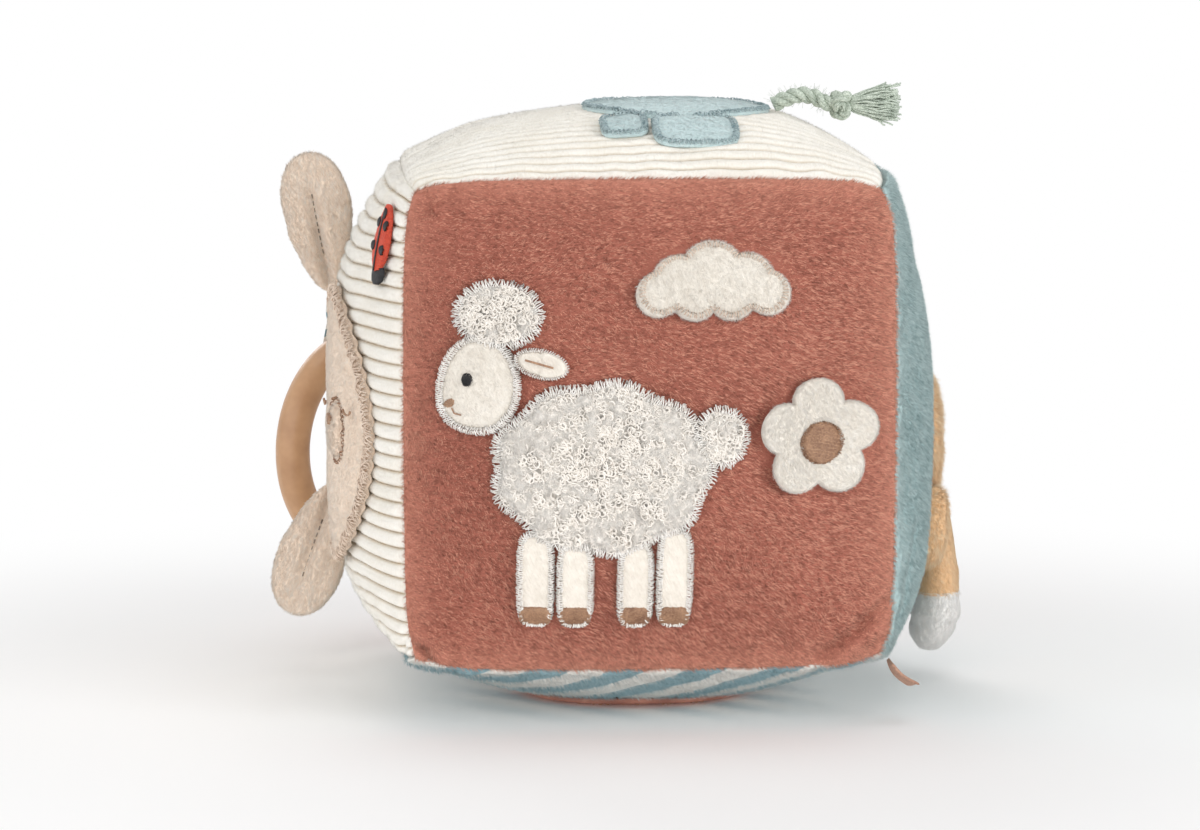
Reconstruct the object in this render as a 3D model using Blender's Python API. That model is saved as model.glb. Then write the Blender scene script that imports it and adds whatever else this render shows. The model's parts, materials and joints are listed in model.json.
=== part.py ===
"""Soft fabric activity block for a baby.

Six sewn panels round a stuffing with a rattle in it, flat appliques on the panels, two stuffed
ears, a stuffed tail, a small flap, a folded tag, a teething ring on a ribbon and a knotted rope.

Metres, +Z up, +X right, the front panel towards -Y. The origin is the centre of the flat face
that the block rests on. Shapes are worked out from the block's centre, which BLOCK_CENTRE puts
at its height above the origin.
"""

import math

import bmesh
import bpy
from mathutils import Vector

# Sewn cube
SEWN_EDGE = 0.130
CROWN_FRONT = 0.0180
CROWN_BACK = 0.0180
CROWN_LEFT = 0.0183
CROWN_RIGHT = 0.0172
CROWN_TOP = 0.0180
CROWN_BOTTOM = 0.0180
BOTTOM_SQUASH = 0.0025
EDGE_BOW = 0.0010
CORNER_DRAW = 0.0028
PANEL_THICKNESS = 0.0022
SEAM_GAP = 0.0003
SEAT_GAP = 0.0005
FILLING_GAP = 0.0008
CROWN_FULLNESS = 2.4
LEFT_UPPER_FULLNESS = 3.4
LEFT_LOWER_FULLNESS = 5.2
RIGHT_LOWER_FULLNESS = 6.0
BOW_SHARPNESS = 8
CORNER_SHARPNESS = 14
TOP_SKEW_SHARE = 0.18
PANEL_STEPS = 12

# Rattle in the middle of the stuffing
RATTLE_RADIUS = 0.0175
RATTLE_WALL = 0.0020
BEAD_RADIUS = 0.0030
BEAD_COUNT = 3
BEAD_TILT = math.radians(20)

# Flat appliques
FELT_THICKNESS = 0.0012
PLUSH_THICKNESS = 0.0020
FLEECE_THICKNESS = 0.0040
STITCH_THICKNESS = 0.0008
PADDED_THICKNESS = 0.0040
APPLIQUE_GAP = 0.0010
RIM_SHARE = 0.55

# Lamb and cloud on the front
LAMB_PLACE_SHARES = (-0.215, -0.14)
FLEECE_HALF_WIDTH = 0.0270
FLEECE_HALF_HEIGHT = 0.0210
FLEECE_SCALLOPS = 9
SCALLOP_SHARE = 0.04
LAMB_HEAD_HALF_WIDTH = 0.0100
LAMB_HEAD_HALF_HEIGHT = 0.0130
LAMB_HEAD_BEARING = math.radians(145)
TOPKNOT_HALF_WIDTH = 0.0085
TOPKNOT_HALF_HEIGHT = 0.0060
TOPKNOT_BEARING = math.radians(76)
LAMB_EAR_HALF_LENGTH = 0.0062
LAMB_EAR_HALF_WIDTH = 0.0030
LAMB_EAR_BEARING = math.radians(20)
LAMB_TAIL_HALF_WIDTH = 0.0045
LAMB_TAIL_HALF_HEIGHT = 0.0058
LAMB_TAIL_BEARING = math.radians(14)
LEG_HALF_WIDTH = 0.0040
LEG_REACH = 0.0205
LEG_PLACE_SHARES = (-0.62, -0.24, 0.34, 0.72)
CLOUD_PLACE_SHARES = (0.22, 0.60)
CLOUD_HALF_WIDTH = 0.0200
CLOUD_HALF_HEIGHT = 0.0095
CLOUD_SCALLOPS = 7

# Flower on the front
FLOWER_RADIUS = 0.0160
FLOWER_PETALS = 5
PETAL_SHARE = 0.14
FLOWER_CENTRE_RADIUS = 0.0050
FLOWER_DROP_SHARE = 0.05
FLOWER_CLEARANCE = 0.0035

# Ladybird and bear head on the left
LADYBIRD_PLACE_SHARES = (0.79, 0.75)
LADYBIRD_HALF_WIDTH = 0.0065
LADYBIRD_HALF_LENGTH = 0.0085
LADYBIRD_HEAD_HALF_WIDTH = 0.0040
LADYBIRD_HEAD_HALF_LENGTH = 0.0024
BEAR_PLACE_SHARES = (0.123, -0.077)
BEAR_HALF_WIDTH = 0.0430
BEAR_HALF_HEIGHT = 0.0370
MUZZLE_PLACE_SHARE = 0.46
MUZZLE_HALF_WIDTH = 0.0065
MUZZLE_HALF_HEIGHT = 0.0080

# Stuffed ears on the left
EAR_LENGTH = 0.0400
EAR_HALF_WIDTH = 0.0100
EAR_HALF_THICKNESS = 0.0045
EAR_NARROWING_SHARE = 0.60
EAR_WALL = 0.0012
EAR_UPPER_BACK_SHARE = 0.768
EAR_LOWER_BACK_SHARE = 0.88
EAR_UPPER_ROOT_HALF_WIDTH = 0.0028
EAR_LOWER_ROOT_HALF_WIDTH = 0.0020
EAR_UPPER_HEIGHT_SHARE = 0.89
EAR_LOWER_HEIGHT_SHARE = -0.60
EAR_UPPER_LEAN = math.radians(10)
EAR_LOWER_LEAN = math.radians(161)

# Flat shape on the top
TOP_SHAPE_PLACE_SHARES = (0.177, -0.062)
TOP_SHAPE_HALF_WIDTH = 0.0255
TOP_SHAPE_HALF_LENGTH = 0.0280
FOOT_SMALL_HALF_WIDTH = 0.0063
FOOT_SMALL_HALF_LENGTH = 0.0065
FOOT_LARGE_HALF_WIDTH = 0.0115
FOOT_LARGE_HALF_LENGTH = 0.0086

# Rope on the top
ROPE_DIAMETER = 0.0047
KNOT_HALF_LENGTH = 0.0033
KNOT_HALF_WIDTH = 0.0044
KNOT_HALF_HEIGHT = 0.0047
TASSEL_LENGTH = 0.0125
TASSEL_ROOT_RADIUS = 0.0028
TASSEL_END_RADIUS = 0.0062
ROPE_ROUTE = (
    (0.0385, -0.0080, 0.0823),
    (0.0420, -0.0085, 0.0839),
    (0.0460, -0.0092, 0.0850),
    (0.0500, -0.0098, 0.0842),
    (0.0528, -0.0102, 0.0828),
)
ROPE_STEPS = 3

# Plush animal on the right
ANIMAL_PLACE_SHARES = (0.092, -0.190)
ANIMAL_RADIUS = 0.0180
ANIMAL_HEAD_HALF_WIDTH = 0.0105
ANIMAL_HEAD_HALF_HEIGHT = 0.0098
ANIMAL_HEAD_BEARING = math.radians(48)
ANIMAL_EAR_HALF_LENGTH = 0.0050
ANIMAL_EAR_HALF_WIDTH = 0.0034
ANIMAL_EAR_BEARINGS = (math.radians(96), math.radians(12))
FLAP_HALF_WIDTH = 0.0080
FLAP_HALF_HEIGHT = 0.0108
FLAP_THICKNESS = 0.0050
FLAP_BEARING = math.radians(232)
TAIL_PLACE_SHARE = 0.19
TAIL_LENGTH = 0.0435
TAIL_HALF_WIDTH = 0.0110
TAIL_HALF_THICKNESS = 0.0068
TAIL_BELLY_SHARE = 0.30
TAIL_ROOT_SHARE = 0.60
TAIL_TIP_SHARE = 0.60
TAIL_SWELL_SHARES = ((0.0, 0.30), (0.08, 0.60), (0.35, 0.76), (0.75, 1.0), (0.92, 0.72), (1.0, 0.22))
TAIL_STEPS = 10

# Ring and ribbon at the back left seam
RING_RADIUS = 0.0300
RING_TUBE_RADIUS = 0.0050
RING_STANDOFF = 0.0133
RING_DROP = 0.0218
RING_SEGMENTS = 36
RING_SIDES = 10
RING_RUNNING_GAP = 0.0005
RIBBON_WIDTH = 0.0220
RIBBON_THICKNESS = 0.0011
RIBBON_TOP = 0.0500
RIBBON_LEAVE = 0.0130
RIBBON_ARRIVE = 0.0100
RIBBON_LAYER_GAP = 0.0004
RIBBON_MOUTH_ANGLE = math.radians(55)
RIBBON_WIDTH_STEPS = 4
RIBBON_DROP_STEPS = 8
RIBBON_LOOP_STEPS = 12

# Patch that the block stands on, and folded tag
PATCH_RADIUS = 0.0340
PATCH_THICKNESS = 0.0010
TAG_WIDTH = 0.0090
TAG_LENGTH = 0.0092
TAG_THICKNESS = 0.0011
TAG_PLACE_SHARE = 0.90
TAG_TURN = math.radians(43)

SPOKES = 24
SMALL_SPOKES = 16
PAD_SHARES = (0.5, 1.0)
WIDE_PAD_SHARES = (0.35, 0.7, 1.0)
DOME_SHARES = (0.5, 0.85)

HALF = SEWN_EDGE / 2
REST_DEPTH = HALF + CROWN_BOTTOM - BOTTOM_SQUASH
BLOCK_CENTRE = Vector((0, 0, REST_DEPTH + SEAT_GAP + PATCH_THICKNESS))
OUTWARD = Vector((-1, 1, 0)).normalized()
ALONG_EDGE = Vector((1, 1, 0)).normalized()
UP = Vector((0, 0, 1))
TINY = 1e-6

# Each face: outward normal, across, up, crown, skew of the crown's peak along across
FACES = {
    "front": (Vector((0, -1, 0)), Vector((1, 0, 0)), UP, CROWN_FRONT, 0),
    "back": (Vector((0, 1, 0)), Vector((-1, 0, 0)), UP, CROWN_BACK, 0),
    "left": (Vector((-1, 0, 0)), Vector((0, -1, 0)), UP, CROWN_LEFT, 0),
    "right": (Vector((1, 0, 0)), Vector((0, 1, 0)), UP, CROWN_RIGHT, 0),
    "top": (UP, Vector((1, 0, 0)), Vector((0, 1, 0)), CROWN_TOP, TOP_SKEW_SHARE),
    "bottom": (-UP, Vector((1, 0, 0)), Vector((0, -1, 0)), CROWN_BOTTOM, 0),
}

EAR_UPPER_PLACING = (
    EAR_UPPER_BACK_SHARE,
    EAR_UPPER_HEIGHT_SHARE,
    EAR_UPPER_LEAN,
    EAR_UPPER_ROOT_HALF_WIDTH,
)
EAR_LOWER_PLACING = (
    EAR_LOWER_BACK_SHARE,
    EAR_LOWER_HEIGHT_SHARE,
    EAR_LOWER_LEAN,
    EAR_LOWER_ROOT_HALF_WIDTH,
)

# The stuffing sags, so the two sides fill out more above and below their middles
SAGS = {
    "left": (LEFT_UPPER_FULLNESS, LEFT_LOWER_FULLNESS),
    "right": (CROWN_FULLNESS, RIGHT_LOWER_FULLNESS),
}

# Each material: red, green, blue and roughness
MATERIALS = {
    "terracotta_velour": (0.527, 0.202, 0.138, 0.9),
    "cream_corduroy": (0.871, 0.823, 0.745, 0.9),
    "blue_velour": (0.314, 0.456, 0.479, 0.9),
    "striped_velour": (0.560, 0.600, 0.580, 0.9),
    "beige_plush": (0.716, 0.552, 0.434, 0.95),
    "caramel_plush": (0.631, 0.371, 0.162, 0.95),
    "white_plush": (0.807, 0.761, 0.701, 0.95),
    "white_fleece": (0.839, 0.807, 0.761, 0.95),
    "cream_felt": (0.855, 0.761, 0.617, 0.95),
    "tan_stitching": (0.402, 0.231, 0.150, 0.6),
    "red_stitching": (0.631, 0.058, 0.021, 0.5),
    "black_stitching": (0.012, 0.012, 0.014, 0.5),
    "ring_plastic": (0.445, 0.254, 0.144, 0.35),
    "striped_ribbon": (0.560, 0.600, 0.580, 0.6),
    "sage_rope": (0.434, 0.503, 0.413, 0.9),
    "brown_patch": (0.342, 0.127, 0.089, 0.5),
    "tag_cloth": (0.672, 0.456, 0.352, 0.7),
    "filling_fibre": (0.850, 0.850, 0.850, 1.0),
    "rattle_plastic": (0.700, 0.780, 0.850, 0.4),
}


def clear_scene():
    for item in list(bpy.data.objects):
        bpy.data.objects.remove(item, do_unlink=True)


def material(name):
    if name in bpy.data.materials:
        return bpy.data.materials[name]
    red, green, blue, roughness = MATERIALS[name]
    made = bpy.data.materials.new(name)
    made.use_nodes = True
    shader = made.node_tree.nodes["Principled BSDF"]
    shader.inputs["Base Color"].default_value = (red, green, blue, 1)
    shader.inputs["Roughness"].default_value = roughness
    shader.inputs["Metallic"].default_value = 0
    return made


def add_pivot(name, place):
    """Add an empty on a moving piece's joint axis. The place is from the block's centre."""
    pivot = bpy.data.objects.new(name, None)
    pivot.location = BLOCK_CENTRE + place
    pivot.empty_display_size = RING_RADIUS
    bpy.context.collection.objects.link(pivot)
    return pivot


def add_object(name, data, look, pivot, smooth=True):
    """Place a mesh or curve made round the block's centre, under its pivot if it has one."""
    piece = bpy.data.objects.new(name, data)
    data.materials.append(material(look))
    bpy.context.collection.objects.link(piece)
    if pivot is None:
        piece.location = BLOCK_CENTRE
    else:
        piece.parent = pivot
        piece.location = BLOCK_CENTRE - pivot.location
    if smooth:
        data.shade_smooth()
        data.set_sharp_from_angle(angle=math.radians(50))
    return piece


def add_piece(name, points, faces, look, pivot=None):
    """Make a closed mesh piece with its faces pointing out."""
    mesh = bpy.data.meshes.new(name)
    mesh.from_pydata([tuple(point) for point in points], [], faces)
    work = bmesh.new()
    work.from_mesh(mesh)
    bmesh.ops.recalc_face_normals(work, faces=work.faces)
    work.to_mesh(mesh)
    work.free()
    return add_object(name, mesh, look, pivot)


def add_rings(name, start, rings, end, look, pivot=None):
    """Close a run of rings with a point at each end: pads, domes, shells, lofts and balls."""
    count = len(rings[0])
    points = [start]
    for ring in rings:
        points.extend(ring)
    points.append(end)
    faces = []
    for j in range(count):
        k = (j + 1) % count
        faces.append((0, 1 + k, 1 + j))
        last = 1 + (len(rings) - 1) * count
        faces.append((len(points) - 1, last + j, last + k))
        for i in range(len(rings) - 1):
            low = 1 + i * count
            high = low + count
            faces.append((low + j, low + k, high + k, high + j))
    return add_piece(name, points, faces, look, pivot)


def add_slab(name, outer, inner, look, pivot=None):
    """Close two matching grids of points with walls along their four edges."""
    rows = len(outer)
    columns = len(outer[0])
    points = [point for grid in (outer, inner) for row in grid for point in row]
    offset = rows * columns
    faces = []
    for i in range(rows - 1):
        for j in range(columns - 1):
            corner = i * columns + j
            quad = (corner, corner + 1, corner + columns + 1, corner + columns)
            faces.append(quad)
            faces.append(tuple(offset + index for index in reversed(quad)))
    border = [j for j in range(columns)]
    border += [i * columns + columns - 1 for i in range(1, rows)]
    border += [(rows - 1) * columns + j for j in range(columns - 2, -1, -1)]
    border += [i * columns for i in range(rows - 2, 0, -1)]
    for place, index in enumerate(border):
        following = border[(place + 1) % len(border)]
        faces.append((following, index, offset + index, offset + following))
    return add_piece(name, points, faces, look, pivot)


def fullness(share, skew, power=CROWN_FULLNESS):
    moved = share - skew * (1 - share * share)
    return 1 - abs(moved) ** power


def skin_point(face, a, b):
    """A point of the block's outer skin, a across and b up from the middle of a face."""
    normal, across, up, crown, skew = FACES[face]
    u = a / HALF
    v = b / HALF
    side_u = math.copysign(1, u)
    side_v = math.copysign(1, v)
    upper, lower = SAGS.get(face, (CROWN_FULLNESS, CROWN_FULLNESS))
    sagging = fullness(v, 0, upper if v > 0 else lower)
    point = normal * (HALF + crown * fullness(u, skew) * sagging) + across * a + up * b
    bow_u = abs(u) ** BOW_SHARPNESS * (1 - v * v)
    bow_v = abs(v) ** BOW_SHARPNESS * (1 - u * u)
    point += (normal + across * side_u).normalized() * (EDGE_BOW * bow_u)
    point += (normal + up * side_v).normalized() * (EDGE_BOW * bow_v)
    corner = abs(u * v) ** CORNER_SHARPNESS
    point -= (normal + across * side_u + up * side_v).normalized() * (CORNER_DRAW * corner)
    if face == "bottom":
        point.z = max(point.z, -REST_DEPTH)
    return point


def skin_normal(face, a, b):
    slope_a = skin_point(face, a + TINY, b) - skin_point(face, a - TINY, b)
    slope_b = skin_point(face, a, b + TINY) - skin_point(face, a, b - TINY)
    return slope_a.cross(slope_b).normalized()


def over_skin(face, a, b, height):
    return skin_point(face, a, b) + skin_normal(face, a, b) * height


def place_on(shares):
    return (shares[0] * HALF, shares[1] * HALF)


def skin_grid(face, limit, scale):
    """Points over a whole face, drawn in evenly towards the block's centre by a scale."""
    steps = [limit * (2 * i / PANEL_STEPS - 1) for i in range(PANEL_STEPS + 1)]
    return [[skin_point(face, a, b) * scale for a in steps] for b in steps]


def spokes(count):
    return [2 * math.pi * i / count for i in range(count)]


def ellipse(half_width, half_height, turn=0):
    """An outline as a function of angle: an ellipse, turned about its middle."""

    def outline(angle):
        x = half_width * math.cos(angle)
        y = half_height * math.sin(angle)
        return (x * math.cos(turn) - y * math.sin(turn), x * math.sin(turn) + y * math.cos(turn))

    return outline


def scalloped(half_width, half_height, count, share):
    """An ellipse with round bumps along its edge."""

    def outline(angle):
        bump = 1 + share * math.cos(count * angle)
        return (half_width * bump * math.cos(angle), half_height * bump * math.sin(angle))

    return outline


def rounded_box(half_width, half_height):
    """A rectangle with well rounded corners."""

    def outline(angle):
        x = math.cos(angle)
        y = math.sin(angle)
        stretch = (x ** 4 + y ** 4) ** 0.25
        return (half_width * x / stretch, half_height * y / stretch)

    return outline


def reach(half_width, half_height, bearing):
    """How far an upright ellipse reaches from its middle in one direction."""
    return half_width * half_height / math.hypot(
        half_height * math.cos(bearing), half_width * math.sin(bearing)
    )


def beside(centre, size, bearing, other_size, gap):
    """The middle of an ellipse that lies next to another one, in one direction from it."""
    distance = reach(*size, bearing) + reach(*other_size, bearing) + gap
    return (centre[0] + distance * math.cos(bearing), centre[1] + distance * math.sin(bearing))


def add_applique(name, face, centre, outline, thickness, look, lift=SEAT_GAP, pivot=None,
                 count=SPOKES, shares=PAD_SHARES):
    """A flat piece that follows the skin, with its top edge rounded down at the rim."""
    angles = spokes(count)
    edge = [outline(angle) for angle in angles]

    def ring(share, height):
        return [
            over_skin(face, centre[0] + x * share, centre[1] + y * share, height) for x, y in edge
        ]

    rings = [ring(share, lift) for share in shares]
    rings.append(ring(1, lift + thickness * RIM_SHARE))
    inset = 1 - thickness / 2 / max(math.hypot(x, y) for x, y in edge)
    rings.append(ring(inset, lift + thickness))
    rings += [ring(share, lift + thickness) for share in reversed(shares[:-1])]
    start = over_skin(face, centre[0], centre[1], lift)
    end = over_skin(face, centre[0], centre[1], lift + thickness)
    return add_rings(name, start, rings, end, look, pivot)


def build_panels():
    limit = HALF - SEAM_GAP
    looks = {
        "front": "terracotta_velour",
        "back": "terracotta_velour",
        "left": "cream_corduroy",
        "right": "blue_velour",
        "top": "cream_corduroy",
        "bottom": "striped_velour",
    }
    inner_scale = 1 - PANEL_THICKNESS / HALF
    for face, look in looks.items():
        outer = skin_grid(face, limit, 1)
        inner = skin_grid(face, limit, inner_scale)
        add_slab(face + "_panel", outer, inner, look)


def filling_mesh():
    """The stuffing's whole outer skin as one closed mesh."""
    scale = 1 - (PANEL_THICKNESS + FILLING_GAP) / HALF
    points = []
    faces = []
    for face in FACES:
        grid = skin_grid(face, HALF, scale)
        start = len(points)
        columns = PANEL_STEPS + 1
        for row in grid:
            points.extend(row)
        for i in range(PANEL_STEPS):
            for j in range(PANEL_STEPS):
                corner = start + i * columns + j
                faces.append((corner, corner + 1, corner + columns + 1, corner + columns))
    mesh = bpy.data.meshes.new("filling")
    mesh.from_pydata([tuple(point) for point in points], [], faces)
    work = bmesh.new()
    work.from_mesh(mesh)
    bmesh.ops.remove_doubles(work, verts=work.verts, dist=TINY)
    bmesh.ops.recalc_face_normals(work, faces=work.faces)
    work.to_mesh(mesh)
    work.free()
    return mesh


def add_cutter(name, kind, size, height):
    """A hidden ball or box that cuts the stuffing. The height is from the block's centre."""
    mesh = bpy.data.meshes.new(name)
    work = bmesh.new()
    if kind == "ball":
        bmesh.ops.create_icosphere(work, subdivisions=3, radius=size)
    else:
        bmesh.ops.create_cube(work, size=size)
    work.to_mesh(mesh)
    work.free()
    cutter = bpy.data.objects.new(name, mesh)
    cutter.location = BLOCK_CENTRE + UP * height
    cutter.hide_render = True
    cutter.display_type = "WIRE"
    bpy.context.collection.objects.link(cutter)
    return cutter


def build_filling():
    ball = add_cutter("rattle_cutter", "ball", RATTLE_RADIUS + 2 * SEAT_GAP, 0)
    box_size = 2 * SEWN_EDGE
    for name, side in (("filling_lower", -1), ("filling_upper", 1)):
        piece = add_object(name, filling_mesh(), "filling_fibre", None, smooth=False)
        height = -side * (box_size / 2 - SEAM_GAP / 2)
        half_cutter = add_cutter(name + "_cutter", "box", box_size, height)
        for cutter in (half_cutter, ball):
            cut = piece.modifiers.new(cutter.name, "BOOLEAN")
            cut.operation = "DIFFERENCE"
            cut.solver = "EXACT"
            cut.object = cutter


def build_rattle():
    """A ball of two thin half shells, with loose beads resting in the lower one."""
    inner_radius = RATTLE_RADIUS - RATTLE_WALL
    angles = spokes(SMALL_SPOKES)
    steps = [math.radians(step) for step in (25, 50, 72)]
    for name, side in (("rattle_shell_lower", -1), ("rattle_shell_upper", 1)):

        def ring(radius, tilt):
            return [
                Vector((
                    radius * math.sin(tilt) * math.cos(angle),
                    radius * math.sin(tilt) * math.sin(angle),
                    side * radius * math.cos(tilt),
                ))
                for angle in angles
            ]

        def rim(radius):
            return [
                Vector((radius * math.cos(angle), radius * math.sin(angle), side * SEAM_GAP / 2))
                for angle in angles
            ]

        rings = [ring(RATTLE_RADIUS, step) for step in steps]
        rings += [rim(RATTLE_RADIUS), rim(inner_radius)]
        rings += [ring(inner_radius, step) for step in reversed(steps)]
        start = UP * side * RATTLE_RADIUS
        end = UP * side * inner_radius
        add_rings(name, start, rings, end, "rattle_plastic")

    pivot = add_pivot("bead_roll_axis", Vector())
    orbit = inner_radius * math.cos(math.radians(12)) - BEAD_RADIUS - SEAM_GAP
    for number, bearing in enumerate(spokes(BEAD_COUNT), start=1):
        middle = Vector((
            orbit * math.sin(BEAD_TILT) * math.cos(bearing),
            orbit * math.sin(BEAD_TILT) * math.sin(bearing),
            -orbit * math.cos(BEAD_TILT),
        ))
        add_ball(f"rattle_bead_{number}", middle, Vector((1, 1, 1)) * BEAD_RADIUS, "rattle_plastic", pivot, 8)


def add_ball(name, middle, radii, look, pivot, count):
    """A ball or egg, longest ways given by radii, with its poles along X."""
    rings = []
    steps = [math.pi * i / (count // 2) for i in range(1, count // 2)]
    for step in steps:
        rings.append([
            middle + Vector((
                -radii.x * math.cos(step),
                radii.y * math.sin(step) * math.cos(angle),
                radii.z * math.sin(step) * math.sin(angle),
            ))
            for angle in spokes(count)
        ])
    start = middle - Vector((radii.x, 0, 0))
    end = middle + Vector((radii.x, 0, 0))
    return add_rings(name, start, rings, end, look, pivot)


def build_lamb():
    """A standing lamb in profile, looking left, and a cloud above its back."""
    body = place_on(LAMB_PLACE_SHARES)
    body_size = (FLEECE_HALF_WIDTH, FLEECE_HALF_HEIGHT)
    scallops = scalloped(*body_size, FLEECE_SCALLOPS, SCALLOP_SHARE)
    add_applique("lamb_fleece", "front", body, scallops, FLEECE_THICKNESS, "white_fleece",
                 count=4 * FLEECE_SCALLOPS, shares=WIDE_PAD_SHARES)
    gap = APPLIQUE_GAP + SCALLOP_SHARE * FLEECE_HALF_WIDTH
    head_size = (LAMB_HEAD_HALF_WIDTH, LAMB_HEAD_HALF_HEIGHT)
    head = beside(body, body_size, LAMB_HEAD_BEARING, head_size, gap)
    add_applique("lamb_head", "front", head, ellipse(*head_size), FELT_THICKNESS, "cream_felt")
    knot_size = (TOPKNOT_HALF_WIDTH, TOPKNOT_HALF_HEIGHT)
    knot = beside(head, head_size, TOPKNOT_BEARING, knot_size, APPLIQUE_GAP)
    add_applique("lamb_topknot", "front", knot, ellipse(*knot_size), FLEECE_THICKNESS,
                 "white_fleece", count=SMALL_SPOKES)
    ear_size = (LAMB_EAR_HALF_LENGTH, LAMB_EAR_HALF_WIDTH)
    ear = beside(head, head_size, LAMB_EAR_BEARING, ear_size, APPLIQUE_GAP)
    add_applique("lamb_ear", "front", ear, ellipse(*ear_size), FELT_THICKNESS, "cream_felt",
                 count=SMALL_SPOKES)
    tail_size = (LAMB_TAIL_HALF_WIDTH, LAMB_TAIL_HALF_HEIGHT)
    tail = beside(body, body_size, LAMB_TAIL_BEARING, tail_size, gap)
    add_applique("lamb_tail", "front", tail, ellipse(*tail_size), FLEECE_THICKNESS,
                 "white_fleece", count=SMALL_SPOKES)
    foot_line = body[1] - FLEECE_HALF_HEIGHT - LEG_REACH
    for number, share in enumerate(LEG_PLACE_SHARES, start=1):
        hem = (1 + SCALLOP_SHARE) * FLEECE_HALF_HEIGHT
        inner_share = max(0, abs(share) - LEG_HALF_WIDTH / FLEECE_HALF_WIDTH)
        leg_top = body[1] - hem * math.sqrt(1 - inner_share ** 2) - APPLIQUE_GAP
        middle = (body[0] + share * FLEECE_HALF_WIDTH, (leg_top + foot_line) / 2)
        outline = rounded_box(LEG_HALF_WIDTH, (leg_top - foot_line) / 2)
        add_applique(f"lamb_leg_{number}", "front", middle, outline, FELT_THICKNESS, "cream_felt",
                     count=SMALL_SPOKES)
    bumps = scalloped(CLOUD_HALF_WIDTH, CLOUD_HALF_HEIGHT, CLOUD_SCALLOPS, 2 * SCALLOP_SHARE)
    add_applique("cloud", "front", place_on(CLOUD_PLACE_SHARES), bumps, FELT_THICKNESS,
                 "cream_felt", count=4 * CLOUD_SCALLOPS)
    return tail[0] + LAMB_TAIL_HALF_WIDTH


def build_flower(free_edge):
    """A felt flower to the right of the lamb, with a stitched middle on its petals."""
    centre = (free_edge + FLOWER_CLEARANCE + FLOWER_RADIUS, -FLOWER_DROP_SHARE * HALF)
    inner = FLOWER_RADIUS / (1 + PETAL_SHARE)

    def petals(angle):
        radius = inner * (1 + PETAL_SHARE * math.cos(FLOWER_PETALS * (angle - math.pi / 2)))
        return (radius * math.cos(angle), radius * math.sin(angle))

    add_applique("flower_petals", "front", centre, petals, PLUSH_THICKNESS, "cream_felt",
                 count=6 * FLOWER_PETALS)
    add_applique("flower_centre", "front", centre, ellipse(FLOWER_CENTRE_RADIUS, FLOWER_CENTRE_RADIUS),
                 STITCH_THICKNESS, "tan_stitching", lift=2 * SEAT_GAP + PLUSH_THICKNESS,
                 count=SMALL_SPOKES)


def build_left_appliques():
    body = place_on(LADYBIRD_PLACE_SHARES)
    body_size = (LADYBIRD_HALF_WIDTH, LADYBIRD_HALF_LENGTH)
    add_applique("ladybird_body", "left", body, ellipse(*body_size), STITCH_THICKNESS,
                 "red_stitching")
    head_size = (LADYBIRD_HEAD_HALF_WIDTH, LADYBIRD_HEAD_HALF_LENGTH)
    head = beside(body, body_size, -math.pi / 2, head_size, SEAT_GAP)
    add_applique("ladybird_head", "left", head, ellipse(*head_size), STITCH_THICKNESS,
                 "black_stitching", count=SMALL_SPOKES)
    bear = place_on(BEAR_PLACE_SHARES)
    add_applique("bear_head", "left", bear, ellipse(BEAR_HALF_WIDTH, BEAR_HALF_HEIGHT),
                 PLUSH_THICKNESS, "beige_plush", shares=WIDE_PAD_SHARES)
    muzzle = (bear[0] + MUZZLE_PLACE_SHARE * BEAR_HALF_WIDTH, bear[1])
    add_applique("bear_muzzle", "left", muzzle, ellipse(MUZZLE_HALF_WIDTH, MUZZLE_HALF_HEIGHT),
                 PLUSH_THICKNESS, "white_plush", lift=2 * SEAT_GAP + PLUSH_THICKNESS,
                 count=SMALL_SPOKES)


def ear_frame(back_share, height_share, lean, root_half_width):
    """An ear's root and its directions: along, across and through its thickness.

    The root sits on the left skin beside the bear's head. The ear grows away from there at the
    lean angle from straight up. Through lies along the skin, so an ear that flops about its
    across direction slides over the crown of the panel.
    """
    bear = place_on(BEAR_PLACE_SHARES)
    back = back_share * BEAR_HALF_WIDTH - bear[0]
    height = bear[1] + height_share * BEAR_HALF_HEIGHT
    skin = skin_point("left", -back, height)
    root = Vector((skin.x - root_half_width - SEAT_GAP, back, height))
    along = Vector((-math.sin(lean), 0, math.cos(lean)))
    through = along.cross(skin_normal("left", -back, height)).normalized()
    if through.y < 0:
        through.negate()
    return root, along, through.cross(along), through


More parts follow.
